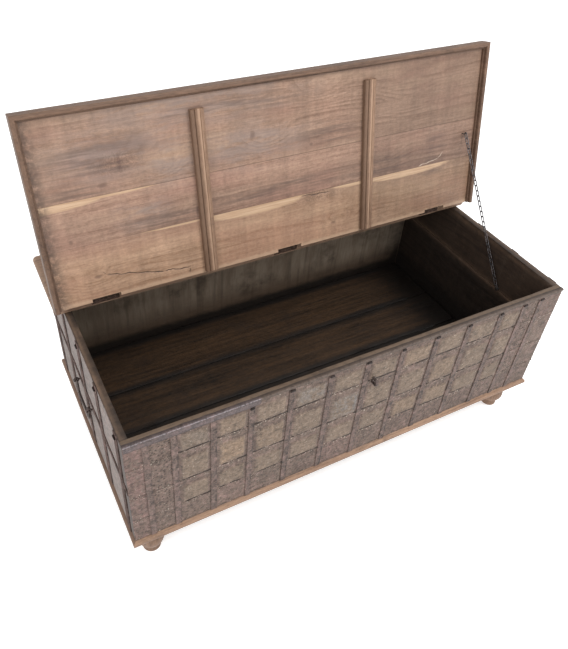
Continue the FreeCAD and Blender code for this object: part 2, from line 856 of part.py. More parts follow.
def chain_spans():
    """How far each length of chain reaches from its pivot to the open place between them."""
    end = chain_inner_length / 2
    tip = end + 2 * chain_wire_radius
    lower = end - chain_screw_radius - chain_clearance
    lower += (lower_link_count - 1) * chain_link_pitch() + tip
    upper = end - lid_staple_radius - chain_clearance
    upper += (upper_link_count - 1) * chain_link_pitch() + tip
    return lower, upper


def lid_staple_place():
    """The lid staple's bar with the lid closed, as far up the lid as the tight chain reaches."""
    screw = chain_screw_centre()
    lower, upper = chain_spans()
    reach = lower + upper + chain_open_gap
    level = lid_underside - lid_staple_standoff
    base = open_lid_point(Vector(screw.x, hinge_y, level))
    ahead = open_lid_point(Vector(screw.x, hinge_y - 1, level)) - base
    offset = base - screw
    along = offset.dot(ahead)
    distance = -along + math.sqrt(along ** 2 + reach ** 2 - offset.dot(offset))
    return Vector(screw.x, hinge_y - distance, level)


def lid_staple():
    """A wire staple in the lid's underside, with its round bar along the chest."""
    place = lid_staple_place()
    half = X_AXIS * (lid_staple_width / 2)
    root = Z_AXIS * (lid_staple_standoff + lid_staple_seat)
    bar = rod(lid_staple_radius, place - half, place + half)
    for corner in (place - half, place + half):
        bend = Part.makeSphere(lid_staple_radius, corner)
        bar = bar.fuse([bend, rod(lid_staple_radius, corner, corner + root)])
    return bar.removeSplitter()


def lid_staple_holes():
    place = lid_staple_place()
    holes = []
    for side in (-1, 1):
        leg = place + X_AXIS * (side * lid_staple_width / 2)
        holes.append(rod(lid_staple_radius + bar_hole_clearance, leg,
                         leg + Z_AXIS * (lid_staple_standoff + lid_staple_seat + bar_hole_clearance)))
    return Part.makeCompound(holes)


def chain_screw():
    """A round-head screw that holds the first link off the wall."""
    centre = chain_screw_centre()
    head_start = centre - X_AXIS * (chain_wire_radius + chain_clearance)
    shank = rod(chain_screw_radius, head_start, chain_screw_tip())
    head = rod(chain_screw_head_radius, head_start - X_AXIS * chain_screw_head_height, head_start)
    return shank.fuse(head)


def chain_link(centre, along, flat):
    """One link: a long ring of round wire. A flat link lies in the plane that the chain swings in."""
    normal = X_AXIS if flat else along.cross(X_AXIS)
    across = along.cross(normal)
    radius = (chain_inner_width + 2 * chain_wire_radius) / 2
    half_straight = (chain_inner_length + 2 * chain_wire_radius) / 2 - radius
    points = unit_arc(centre + along * half_straight, radius, -90, 90, along, across, bend_steps)
    points += unit_arc(centre - along * half_straight, radius, 90, 270, along, across, bend_steps)
    return faceted_bar(points, normal, chain_wire_radius, wire_sides, closed=True)


def chain_length(pivot, seat_radius, along, count):
    """A run of links from a pivot, each turned a quarter against the one before."""
    first = chain_inner_length / 2 - seat_radius - chain_clearance
    links = []
    for i in range(count):
        links.append(chain_link(pivot + along * (first + i * chain_link_pitch()), along, i % 2 == 0))
    return Part.makeCompound(links)


def stay_chain():
    """The two lengths of the chain at rest, tight between the screw and the open lid's staple."""
    screw = chain_screw_centre()
    staple = open_lid_point(lid_staple_place())
    along = staple - screw
    along.normalize()
    lower = chain_length(screw, chain_screw_radius, along, lower_link_count)
    upper = chain_length(staple, lid_staple_radius, -along, upper_link_count)
    return {"chain_lower_length": lower, "chain_upper_length": upper}


def build():
    """Every node of the chest, by name."""
    nodes = {}
    nodes.update(wall_boards())
    nodes.update(floor_boards())
    nodes.update(floor_bearers())
    nodes.update(base_rails())
    for name, place in foot_places().items():
        nodes[name] = turned_foot(place)
    nodes["rear_ledge"] = rear_ledge()
    for name, x in zip(("left", "middle", "right"), hinge_places()):
        on_ledge, on_lid, pin = hinge(x)
        nodes["hinge_%s_ledge_leaf" % name] = on_ledge
        nodes["hinge_%s_lid_leaf" % name] = open_lid(on_lid)
        nodes["hinge_%s_pin" % name] = pin
    nodes.update(front_plates())
    nodes["front_straps"] = front_straps()
    nodes["front_edge_strip"] = front_edge_strip()
    nodes["lock_staple"] = lock_staple()
    for name, side in (("left", -1), ("right", 1)):
        plates, straps = end_skin(side)
        nodes["%s_end_plates" % name] = plates
        nodes["%s_end_straps" % name] = straps
        nodes["%s_handle_eyes" % name] = handle_eyes(side)
        nodes["%s_handle_bail" % name] = handle_bail(side)
    nodes["chain_wall_screw"] = chain_screw()
    nodes.update(stay_chain())
    lid = lid_planks()
    lid.update(lid_lips())
    for name, share in zip(("left", "right"), batten_place_shares):
        lid["lid_batten_" + name] = lid_batten(share * body_length)
    lid["chain_lid_staple"] = lid_staple()
    for name, shape in lid.items():
        nodes[name] = open_lid(shape)
    return nodes


os.makedirs("parts", exist_ok=True)
for node_name, node_shape in build().items():
    if not node_shape.isValid():
        raise ValueError(node_name + " is not a valid shape")
    node_shape.exportStep("parts/%s.step" % node_name)
    print(node_name, len(node_shape.Solids), round(node_shape.Volume))
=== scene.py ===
"""Looks of a damchiya chest: worn boards, sheet metal, iron straps, forged fittings and a stay chain.

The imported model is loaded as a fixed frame. Pieces worked out here take the place of some of its
nodes, and every node that stays gets its material. Lengths are in metres, in the frame's own axes:
X along the chest, Y from front to back, Z up, with the origin on the floor under the middle.
"""

import math
from collections import namedtuple

import bpy
import numpy as np
from mathutils import Matrix, Vector


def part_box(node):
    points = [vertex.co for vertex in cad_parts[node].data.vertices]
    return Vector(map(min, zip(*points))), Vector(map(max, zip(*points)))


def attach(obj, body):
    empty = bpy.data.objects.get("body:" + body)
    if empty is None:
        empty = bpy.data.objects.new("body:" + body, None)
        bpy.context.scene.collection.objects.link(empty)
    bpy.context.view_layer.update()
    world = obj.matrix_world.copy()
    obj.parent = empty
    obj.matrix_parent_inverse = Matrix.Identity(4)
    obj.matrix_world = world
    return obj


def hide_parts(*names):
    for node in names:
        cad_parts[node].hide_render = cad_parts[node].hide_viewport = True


bl_info = {
    "name": "Damchiya chest",
    "version": (1, 0, 0),
    "blender": (4, 5, 0),
    "location": "3D View > Sidebar > Chest",
    "description": "Dresses the packed chest with worn timber, sheet metal, straps and fittings",
    "category": "Object",
}

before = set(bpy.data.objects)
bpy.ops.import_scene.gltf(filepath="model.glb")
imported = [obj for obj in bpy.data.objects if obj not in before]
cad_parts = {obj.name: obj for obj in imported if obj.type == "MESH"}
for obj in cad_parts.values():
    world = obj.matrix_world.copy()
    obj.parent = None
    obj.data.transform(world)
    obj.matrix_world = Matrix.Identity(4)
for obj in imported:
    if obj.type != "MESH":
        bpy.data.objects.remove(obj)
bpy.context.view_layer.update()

MM = 0.001
X_AXIS, Y_AXIS, Z_AXIS = np.eye(3)

# Case
HALF_LENGTH = 660 * MM
HALF_DEPTH = 350 * MM
WALL_THICKNESS = 20 * MM
WALL_HEIGHT = 383 * MM
BASE_TOP = 140 * MM
RIM_LEVEL = BASE_TOP + WALL_HEIGHT
SKIN_TOP = RIM_LEVEL - 1.2 * MM
BOARD_CELL = 11 * MM
BOARD_EDGE_ROUND = 1.6 * MM
BOARD_HOLLOW = 0.5 * MM
MOULDING_HIGH = 134 * MM
MOULDING_LOW = 108 * MM

# Lid, which the frame holds open
HINGE_PIN = Vector((0, 123 * MM, 546.5 * MM))
LID_OPEN_ANGLE = math.radians(102.3)
LID_TOPSIDE = 544.3 * MM

# Plates and straps
SHEET_THICKNESS = 1.2 * MM
SHEET_HALF_GAP = 0.5 * MM
PANEL_RISE = 2.4 * MM
PANEL_SLOPE = 5 * MM
PANEL_SIDE_MARGIN = 12 * MM
PANEL_TOP_MARGIN = 20 * MM
PANEL_BOTTOM_MARGIN = 4 * MM
PLATE_CELL = 2 * MM
FRONT_STRAP_WIDTH = 15 * MM
END_STRAP_WIDTH = 28 * MM
STRAP_FACE = SHEET_THICKNESS + 2.2 * MM
STRAP_CELL = 2.4 * MM
FRONT_STRAP_SHARES = (0.037, 0.088, 0.162, 0.2365, 0.318, 0.4025, 0.486,
                      0.5685, 0.653, 0.737, 0.8235, 0.891, 0.9395)
FRONT_SEAM_SHARES = (0.235, 0.530, 0.776)
END_STRAP_SHARES = (0.06, 0.28, 0.50, 0.72, 0.94)
END_SEAM_SHARES = (0.45,)
END_BAND_WIDTH = 19 * MM
EDGE_STRIP_THICKNESS = 1.2 * MM
EDGE_STRIP_SEAT = 7 * MM
EDGE_STRIP_DROP = 6 * MM
EDGE_FLAP_DROP = 18 * MM
EDGE_FLAP_END = 337 * MM - HALF_LENGTH
HEAD_ROLL_RADIUS = 2.6 * MM
HEAD_ROLL_WIDTH = 11 * MM
NAIL_RADIUS = 2.5 * MM
NAIL_HEIGHT = 0.8 * MM
PALE_STRAPS = (0, 1, 11)

# How warm, cool or red a plate of the front is, by its row and column
WARM_PLATES = {(1, 3): 0.6, (1, 4): 0.3, (2, 8): 0.4, (0, 8): 0.3, (1, 9): 0.3, (2, 9): 0.3, (0, 3): 0.2}
COOL_PLATES = {(1, 6): 0.6, (0, 5): 0.4, (0, 2): 0.15}
RED_PLATES = {(0, 0): 0.7, (1, 0): 0.8, (2, 0): 0.6, (3, 0): 0.4, (3, 3): 0.3, (3, 6): 0.4, (0, 13): 0.3}

# Lock staple
STAPLE_RADIUS = 4 * MM
STAPLE_HALF_SPACING = 8 * MM
STAPLE_CENTRE = np.array([5 * MM, -HALF_DEPTH, RIM_LEVEL - FRONT_SEAM_SHARES[0] * WALL_HEIGHT + 4 * MM])
STAPLE_REACH = 26 * MM
STAPLE_SEAT = 15 * MM

# Lifting handles
HANDLE_LEVEL = RIM_LEVEL - END_SEAM_SHARES[0] * WALL_HEIGHT - 15 * MM
EYE_STANDOFF = STRAP_FACE + 9.2 * MM
EYE_HALF_SPACING = 60 * MM
EYE_BAR_RADIUS = 2.6 * MM
EYE_RING_RADIUS = 6.2 * MM
EYE_SHANK_LENGTH = 20 * MM
WASHER_PROFILE = np.array([(0.4, -0.2), (7.2, -0.2), (7.4, 0.3), (6.6, 1.0), (3.4, 1.4), (0.4, 1.4)]) * MM
BAIL_RADIUS = 3.5 * MM
BAIL_PIN_RADIUS = 3 * MM
BAIL_HALF_WIDTH = 52 * MM
BAIL_DROP = 45 * MM
BAIL_CORNER_RADIUS = 12 * MM
BAIL_PIN_OVERRUN = 8 * MM

# Stay chain
CHAIN_WIRE_RADIUS = 1.5 * MM
CHAIN_INNER_LENGTH = 16.9 * MM
CHAIN_INNER_WIDTH = 5.4 * MM
CHAIN_PITCH = 16.6 * MM
CHAIN_CLEARANCE = 0.3 * MM
LOWER_LINK_COUNT = 11
UPPER_LINK_COUNT = 19
CHAIN_SCREW = Vector((0.6305, -0.161, 0.386))
CHAIN_SCREW_RADIUS = 2.2 * MM
CHAIN_SCREW_TIP_X = 654 * MM
SCREW_HEAD_PROFILE = np.array([(0.3, 0), (5.6, 0), (6, 0.5), (5.4, 1.5), (3.8, 2.3), (1.6, 2.6),
                               (0.3, 2.6)]) * MM
LID_STAPLE = Vector((0.6305, 0.141966, 0.784638))
LID_STAPLE_RADIUS = 1.6 * MM
LID_STAPLE_LEG = 21 * MM
LID_STAPLE_HALF_WIDTH = 6.5 * MM

# Hinge screws
HINGE_SCREW_SHIFTS = (-26 * MM, 0.0, 26 * MM)
HINGE_SCREW_DROP = 12 * MM
HINGE_SCREW_RADIUS = 2.8 * MM
HINGE_SCREW_HEIGHT = 0.7 * MM
LEDGE_LEAF_FACE_Y = 124 * MM
LID_LEAF_FACE_Y = 116 * MM

# Turns that lay a pattern's grain along a piece
ALONG_X = (0.0, 0.0, 0.0)
ALONG_Y = (0.0, 0.0, math.radians(90.0))
ALONG_Z = (0.0, math.radians(90.0), 0.0)

# The lid's underside: places from the case's left end and from the hinge line, with half sizes
LID_SEAMS = (0.1605, 0.2795)
LID_SAP_REAR = ((0.345, 0.1605, 0.115, 0.006), (0.560, 0.1605, 0.155, 0.025), (0.885, 0.1605, 0.080, 0.010),
                (1.070, 0.1605, 0.165, 0.020))
LID_SAP_MIDDLE = ((0.000, 0.2795, 0.150, 0.020), (0.140, 0.2795, 0.140, 0.007))
LID_KNOTS = ((0.200, 0.350, 0.075, 0.044), (0.300, 0.318, 0.040, 0.022), (0.151, 0.303, 0.045, 0.020),
             (0.085, 0.062, 0.050, 0.028), (0.735, 0.128, 0.085, 0.030), (0.840, 0.052, 0.045, 0.022),
             (0.385, 0.187, 0.030, 0.014), (0.990, 0.215, 0.060, 0.030), (0.600, 0.350, 0.050, 0.030),
             (1.060, 0.380, 0.070, 0.034), (0.760, 0.440, 0.060, 0.030))
LID_GREY = ((0.170, 0.380, 0.130, 0.060), (0.560, 0.330, 0.140, 0.050), (0.330, 0.340, 0.070, 0.070),
            (0.240, 0.215, 0.060, 0.040), (0.420, 0.470, 0.260, 0.060))
LID_SHADES = ((0.640, 0.194, 0.230, 0.022), (0.150, 0.372, 0.110, 0.040), (0.200, 0.345, 0.030, 0.030),
              (0.300, 0.182, 0.120, 0.018), (0.980, 0.192, 0.130, 0.026), (0.090, 0.300, 0.090, 0.022),
              (0.800, 0.320, 0.120, 0.030), (1.180, 0.190, 0.040, 0.080), (0.500, 0.440, 0.200, 0.020))
LID_DARK_SPOTS = ((0.200, 0.350, 0.005, 0.020), (0.151, 0.304, 0.011, 0.005), (0.050, 0.177, 0.005, 0.005),
                  (0.386, 0.187, 0.004, 0.012), (0.099, 0.069, 0.010, 0.004), (0.810, 0.050, 0.007, 0.004),
                  (1.000, 0.215, 0.012, 0.004), (0.738, 0.300, 0.005, 0.005), (0.560, 0.355, 0.007, 0.010))
LID_CRACKS = ((0.119, 0.070, 0.276, 0.036, 0.0021), (0.272, 0.037, 0.352, 0.028, 0.0019),
              (0.347, 0.029, 0.345, 0.010, 0.0016), (0.700, 0.156, 0.800, 0.150, 0.0018),
              (0.110, 0.082, 0.122, 0.068, 0.0014))
LID_SCRATCHES = ((1.119, 0.160, 1.196, 0.176, 0.0016), (1.190, 0.174, 1.214, 0.194, 0.0012),
                 (0.5045, 0.0561, 0.5100, 0.0561, 0.0030))
LID_BURLS = ((0.765, 0.146, 0.060, 0.016), (0.195, 0.352, 0.055, 0.026))
BATTEN_MIDDLES = {"left": -251.06 * MM, "right": 265.06 * MM}

# Camera, matched to the photograph's frame of 568 by 649 pixels
FRAME_WIDTH = 568
CAMERA_FOCAL_PIXELS = 649.6915
CAMERA_AZIMUTH = math.radians(29.85230864)
CAMERA_ELEVATION = math.radians(40.98112721)
CAMERA_ROLL = math.radians(3.78970194)
CAMERA_PLACE = (-0.82862, -1.21346, 1.68132)
CAMERA_SHIFT = (0.0348, -0.0365)


# Numbers


def smooth(t):
    """The curve 3t²-2t³ between 0 and 1, held flat outside."""
    t = np.clip(t, 0.0, 1.0)
    return t * t * (3.0 - 2.0 * t)


def lattice(i, j, k, seed):
    """A number from -1 to 1 for each whole point: its indices are scrambled into 32 bits."""
    mixed = i.astype(np.uint32) * np.uint32(374761393) + j.astype(np.uint32) * np.uint32(668265263)
    mixed = mixed + k.astype(np.uint32) * np.uint32(2246822519) + np.uint32(seed * 2654435761 % 2 ** 32)
    for shift, factor in ((15, 2246822519), (13, 3266489917)):
        mixed = (mixed ^ (mixed >> np.uint32(shift))) * np.uint32(factor)
    return (mixed ^ (mixed >> np.uint32(16))).astype(float) / 2147483647.5 - 1.0


def noise(points, size, seed, octaves=1):
    """Smooth random numbers from -1 to 1 at points in space.

    The lattice's numbers at the eight corners round a point are blended by 3t²-2t³ along each
    axis. Each further octave has half the size and half the weight.
    """
    total = 0.0
    for octave in range(octaves):
        place = points / (np.asarray(size) * 0.5 ** octave) + 0.371 * (seed + octave)
        corner = np.floor(place)
        t = smooth(place - corner)
        i, j, k = np.moveaxis(corner.astype(np.int64), -1, 0)
        for di, dj, dk in np.ndindex(2, 2, 2):
            part = np.where((di, dj, dk), t, 1.0 - t)
            part = part[..., 0] * part[..., 1] * part[..., 2]
            total = total + 0.5 ** octave * part * lattice(i + di, j + dj, k + dk, seed + 17 * octave)
    return total / (2.0 - 0.5 ** (octaves - 1))


def noise_at(x, level, z, size, seed, octaves):
    """Noise over x and z, on one level of its second axis."""
    x, level, z = np.broadcast_arrays(x, level, z)
    return noise(np.stack([x, level, z], -1), size, seed, octaves)


def chance(index, seed):
    """One repeatable number from 0 to 1 for a whole index."""
    return float(lattice(*np.array([[index], [7], [3]]), seed)[0] * 0.5 + 0.5)


def spread(field, cells):
    """A field averaged over a square of cells each side, first along its rows and then its columns."""
    kernel = np.ones(2 * cells + 1) / (2 * cells + 1)
    field = np.pad(field, cells, mode="edge")
    for axis in (0, 1):
        field = np.apply_along_axis(np.convolve, axis, field, kernel, mode="valid")
    return field


# Shells


class Shell(namedtuple("Shell", "points faces marks")):
    """A closed surface. Its marks hold one number a point by name."""

    def marked(self, **marks):
        """The shell with further marks, each an array or one number for all its points."""
        self.marks.update({name: np.zeros(len(self.points)) + value for name, value in marks.items()})
        return self


def grid_faces(rows, cols, wrap_rows=False, wrap_cols=False):
    """The quads of a grid of points that are numbered row by row."""
    r, c = np.indices((rows - (not wrap_rows), cols - (not wrap_cols)))
    down = (r + 1) % rows * cols
    right = (c + 1) % cols
    return np.stack([r * cols + c, r * cols + right, down + right, down + c], -1).reshape(-1, 4).tolist()


def faced_outwards(points, faces):
    """The faces, all reversed if the volume that they enclose comes out negative.

    The volume is the sum over each face's fan of triangles of a · (b × c) / 6.
    """
    volume = 0.0
    for length in {len(face) for face in faces}:
        corners = points[np.array([face for face in faces if len(face) == length])]
        for i in range(1, length - 1):
            volume += np.sum(corners[:, 0] * np.cross(corners[:, i], corners[:, i + 1]))
    return [face[::-1] for face in faces] if volume < 0 else faces


def loft(sections, marks=None, closed=False):
    """A shell through closed outlines of equal count, ended by flat caps or joined into a ring."""
    stations, count = sections.shape[:2]
    points = sections.reshape(-1, 3)
    faces = grid_faces(stations, count, closed, True)
    if not closed:
        faces += [list(range(count))[::-1], list(range((stations - 1) * count, stations * count))]
    marks = {name: np.reshape(value, -1) for name, value in (marks or {}).items()}
    return Shell(points, faced_outwards(points, faces), marks)


def gathered(shells):
    """Several shells as one, with zeros where a shell lacks a mark that another has."""
    faces = []
    start = 0
    for shell in shells:
        faces += [[index + start for index in face] for face in shell.faces]
        start += len(shell.points)
    marks = {name: np.concatenate([shell.marks.get(name, np.zeros(len(shell.points))) for shell in shells])
             for name in sorted({name for shell in shells for name in shell.marks})}
    return Shell(np.concatenate([shell.points for shell in shells]), faces, marks)


def moved(shell, matrix):
    """A shell carried by a 4 by 4 matrix: each point p becomes M p. A mirror turns the faces round."""
    matrix = np.array(matrix)
    points = shell.points @ matrix[:3, :3].T + matrix[:3, 3]
    return Shell(points, faced_outwards(points, shell.faces), shell.marks)


def lid_opened():
    """The turn about the hinge pin that carries the lid from its closed place to the frame's."""
    turn = Matrix.Rotation(-LID_OPEN_ANGLE, 4, "X")
    return Matrix.Translation(HINGE_PIN) @ turn @ Matrix.Translation(-HINGE_PIN)


def on_front():
    """The move that carries what is drawn on the plane y = 0 to the front of the case."""
    return Matrix.Translation((0.0, -HALF_DEPTH, 0.0))


def on_end(side):
    """The turn that carries what is drawn on the plane y = 0 to one end of the case."""
    turn = Matrix.Rotation(math.radians(90.0 * side), 4, "Z")
    return turn @ Matrix.Translation((0.0, -HALF_LENGTH, 0.0))


# Forms


def rounded_outline(width, height, radius, cell):
    """Points round a rectangle with rounded corners, centred on 0, with their outward directions.

    Each corner is a quarter circle in four steps; the straight sides have points a cell apart.
    Also returns, for each point, how near it is to a corner: 1 on the arc, 0 from two cells away.
    """
    places = []
    normals = []
    nearness = []
    corners = np.array([(1, 1), (-1, 1), (-1, -1), (1, -1)]) * (width / 2 - radius, height / 2 - radius)
    for index, corner in enumerate(corners):
        angles = np.radians(90.0 * index + np.linspace(0.0, 90.0, 4))
        ring = np.stack([np.cos(angles), np.sin(angles)], -1)
        run = corners[(index + 1) % 4] - corner
        count = max(1, int(round(np.linalg.norm(run) / cell)))
        t = np.arange(1, count) / count
        away = np.minimum(t, 1.0 - t) * np.linalg.norm(run)
        places += [corner + radius * ring, corner + radius * ring[-1] + t[:, None] * run]
        normals += [ring, np.repeat(ring[-1:], count - 1, 0)]
        nearness += [np.ones(4), np.clip(1.0 - away / (2.0 * cell), 0.0, 1.0)]
    return np.concatenate(places), np.concatenate(normals), np.concatenate(nearness)


def worn_board(low, high, along, seed, wear):
    """A board between two corners, with rounded edges that are worn back unevenly.

    The rounded outline is carried along the board. Each point moves in, against its outward
    direction, by a broad hollow and by the edge wear, both scaled by noise. The two end outlines
    shrink by a quarter circle, so the ends are rounded too.
    """
    size = np.subtract(high, low)
    across = [axis for axis in range(3) if axis != along]
    places, normals, nearness = rounded_outline(*size[across], BOARD_EDGE_ROUND, BOARD_CELL)
    half = size[along] / 2
    count = max(4, int(round(size[along] / BOARD_CELL)))
    turn = np.radians([75.0, 50.0, 25.0])
    ends = BOARD_EDGE_ROUND * (1.0 - np.sin(turn))
    shrink = BOARD_EDGE_ROUND * (1.0 - np.cos(turn))
    inner = np.linspace(BOARD_EDGE_ROUND - half, half - BOARD_EDGE_ROUND, count)
    stations = np.concatenate([ends - half, inner, half - ends[::-1]])
    shrink = np.concatenate([shrink, np.zeros(count), shrink[::-1]])
    points = np.zeros((len(stations), len(places), 3)) + np.add(low, high) / 2
    points[..., along] += stations[:, None]
    points[..., across] += places - normals * shrink[:, None, None]
    stretch = np.full(3, 0.03)
    stretch[along] = 0.16
    broad = noise(points, stretch * 2.0, seed, 2) * 0.5 + 0.5
    bite = np.clip(noise(points, stretch * 0.6, seed + 5, 2) * 1.4 + 0.1, 0.0, 1.0)
    depth = BOARD_HOLLOW * broad + wear * nearness * (0.35 + bite)
    points[..., across] -= normals * depth[..., None]
    return loft(points, {"rub": nearness * (0.4 + 0.6 * bite)})


def hammered_sheet(x0, x1, z0, z1, back, face, cell, seed, ragged, dent, relief=None, edge_round=0.5 * MM):
    """A sheet in the plane of X and Z that faces -Y: a height field with a rim and a flat back.

    Over the grid the front lies face + dents + relief(x, z) in front of y = 0. The outline's sides
    and its bottom wander by noise: ragged gives how far. The two outer rings of the grid turn
    back over a small radius to the level of the back, which one flat face closes.
    Marks: a wear mark where the front stands above its own average, and a dirt mark where it lies below it.
    """
    cols = max(4, int(round((x1 - x0) / cell)))
    rows = max(4, int(round((z1 - z0) / cell)))
    u, t = np.meshgrid(np.linspace(0.0, 1.0, cols + 1), np.linspace(0.0, 1.0, rows + 1))
    x = x0 + u * (x1 - x0)
    z = z1 - t * (z1 - z0)
    flat = np.stack([x, np.full_like(x, 0.01 * seed), z], -1)
    near_side = np.exp((x0 - x) / (2.0 * cell)) + np.exp((x - x1) / (2.0 * cell))
    x = x + noise(flat, 0.011, seed + 31, 3) * ragged[0] * near_side
    z = z + noise(flat, 0.009, seed + 47, 3) * ragged[1] * np.exp((z0 - z) / (2.5 * cell))
    height = face + dent * (noise(flat, 0.031, seed, 2) + 0.6 * noise(flat, 0.0075, seed + 3, 3))
    above = (height - spread(height, 3)) / (0.22 * MM)
    marks = {"rub": np.clip(above, 0.0, 1.0), "pit": np.clip(-above, 0.0, 1.0) ** 1.5, "across": u}
    if relief is not None:
        height = height + relief(x, z)
    front = np.stack([x, -np.maximum(height, back + 0.5 * MM), z], -1)
    outward = np.zeros_like(front)
    outward[:, 0, 0] -= edge_round
    outward[:, -1, 0] += edge_round
    outward[0, :, 2] += edge_round
    outward[-1, :, 2] -= edge_round
    loop = np.concatenate([np.arange(cols), np.arange(rows) * (cols + 1) + cols,
                           np.arange(cols, 0, -1) + rows * (cols + 1), np.arange(rows, 0, -1) * (cols + 1)])
    bend = (front + outward).reshape(-1, 3)[loop] + Y_AXIS * 0.7 * edge_round
    rear = (front + 0.7 * outward).reshape(-1, 3)[loop]
    rear[:, 1] = -back
    points = np.concatenate([front.reshape(-1, 3), bend, rear])
    faces = grid_faces(rows + 1, cols + 1)
    bent = np.arange(len(loop)) + front[..., 0].size
    last = bent + len(loop)
    for near, far in ((loop, bent), (bent, last)):
        faces += np.stack([near, far, np.roll(far, -1), np.roll(near, -1)], -1).tolist()
    faces.append(last.tolist())
    source = np.concatenate([np.arange(front[..., 0].size), loop, loop])
    marks = {name: field.reshape(-1)[source] for name, field in marks.items()}
    return Shell(points, faced_outwards(points, faces), marks)


def swept_bar(path, normal, radius, sides, seed, uneven, closed=False):
    """A round bar along a flat path: at each point a circle square to the path's mean direction.

    Noise moves the surface in by up to uneven. Open ends shrink over three more circles to a dome.
    """
    ahead = np.roll(path, -1, 0) - np.roll(path, 1, 0) if closed else np.gradient(path, axis=0)
    ahead = ahead / np.linalg.norm(ahead, axis=1)[:, None]
    radii = np.full(len(path), radius)
    if not closed:
        turn = np.radians([20.0, 45.0, 70.0])
        tail = path[0] - ahead[0] * radius * np.sin(turn[::-1])[:, None]
        tip = path[-1] + ahead[-1] * radius * np.sin(turn)[:, None]
        path = np.concatenate([tail, path, tip])
        ahead = np.concatenate([ahead[:1]] * 3 + [ahead] + [ahead[-1:]] * 3)
        radii = np.concatenate([radius * np.cos(turn[::-1]), radii, radius * np.cos(turn)])
    angle = 2.0 * np.pi * (np.arange(sides)[:, None] + 0.5) / sides
    ring = np.cross(ahead, normal)[:, None, :] * np.cos(angle) + normal * np.sin(angle)
    points = path[:, None, :] + ring * radii[:, None, None]
    hammered = noise(points, 0.006, seed, 2) * 0.5 + 0.5
    return loft(points - ring * (uneven * hammered)[..., None], {"rub": 1.0 - hammered}, closed)


def arc(centre, radius, start, end, u, v, steps):
    """Points on an arc in the plane of u and v, with a in degrees: centre + r (u cos a + v sin a)."""
    angle = np.radians(np.linspace(start, end, steps + 1))[:, None]
    return centre + radius * (np.cos(angle) * u + np.sin(angle) * v)


def rings(base, out, radii, levels, angle, wobble=1.0):
    """Rings of points round a direction, one for each radius and level."""
    out = Vector(out).normalized()
    u = np.array(out.orthogonal().normalized())
    ring = np.cos(angle) * u + np.sin(angle) * np.cross(out, u)
    return base + radii[:, None, None] * ring * wobble + levels[:, None, None] * np.array(out)


def dome(centre, out, radius, height, sides, seed):
    """A low nail head: rings of radius r cos a at height h sin a along its outward direction."""
    rise = np.radians([0.0, 0.0, 35.0, 65.0])
    levels = height * np.sin(rise)
    levels[0] = -0.6 * height
    angle = 2.0 * np.pi * (np.arange(sides)[:, None] + chance(seed, 11)) / sides
    wobble = 1.0 + 0.10 * np.sin(2.0 * angle + seed)
    rub = np.repeat([[0.0], [0.1], [0.4], [0.6]], sides, 1)
    shell = loft(rings(centre, out, radius * np.cos(rise), levels, angle, wobble), {"rub": rub})
    return shell.marked(across=0.5)


def turned_form(base, out, profile, sides):
    """A solid of revolution: rings of the profile's (radius, height) pairs round its direction."""
    radii, levels = profile.T
    return loft(rings(base, out, radii, levels, 2.0 * np.pi * np.arange(sides)[:, None] / sides))


# Objects


def made(name):
    """A material that the materials operator has already built."""
    if name not in bpy.data.materials:
        raise RuntimeError("build the materials before the piece that needs " + name)
    return bpy.data.materials[name]


def new_piece(name, shell, body, material, node=None):
    """Put a shell into a mesh object that rides on a body and stands for the node it replaces."""
    mesh = bpy.data.meshes.new(name)
    mesh.from_pydata(shell.points.tolist(), [], shell.faces)
    if mesh.validate(verbose=False):
        raise ValueError(name + " has faces that the mesh refuses")
    for mark, values in shell.marks.items():
        field = mesh.attributes.new(mark, "FLOAT", "POINT")
        field.data.foreach_set("value", np.asarray(values, dtype=np.float32))
    mesh.shade_smooth()
    mesh.set_sharp_from_angle(angle=math.radians(35.0))
    mesh.materials.append(made(material))
    piece = bpy.data.objects.new(name, mesh)
    bpy.context.scene.collection.objects.link(piece)
    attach(piece, body)
    if node:
        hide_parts(node)


def finish_node(node, material):
    """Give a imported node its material, and leave its mesh and place alone."""
    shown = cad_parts[node]
    if not shown.material_slots:
        raise ValueError(node + " has no material slot")
    for place in shown.material_slots:
        place.material = made(material)


# Shader nodes


def linear(red, green, blue):
    """A colour given in 0 to 255 as on a screen, turned to linear light."""
    shares = [value / 255.0 for value in (red, green, blue)]
    return tuple(s / 12.92 if s <= 0.04045 else ((s + 0.055) / 1.055) ** 2.4 for s in shares) + (1.0,)


class Value:
    """A node's output. Its sums, differences and products are further nodes, and | is the larger."""

    def __init__(self, nodes, socket):
        self.nodes = nodes
        self.socket = socket

    def __add__(self, other):
        return self.nodes.math("ADD", self, other)

    def __sub__(self, other):
        return self.nodes.math("SUBTRACT", self, other)

    def __rsub__(self, other):
        return self.nodes.math("SUBTRACT", other, self)

    def __mul__(self, other):
        return self.nodes.math("MULTIPLY", self, other)

    def __or__(self, other):
        return self.nodes.math("MAXIMUM", self, other)

    def __abs__(self):
        return self.nodes.math("ABSOLUTE", self)

    def step(self, low, high, start=0.0, end=1.0):
        """A smooth step from start to end, while the value goes from low to high."""
        return self.nodes.add("MapRange", {"Value": self, "From Min": low, "From Max": high, "To Min": start,
                                           "To Max": end}, interpolation_type="SMOOTHSTEP")

    def all(self):
        """Every output of the value's node."""
        return [Value(self.nodes, socket) for socket in self.socket.node.outputs]


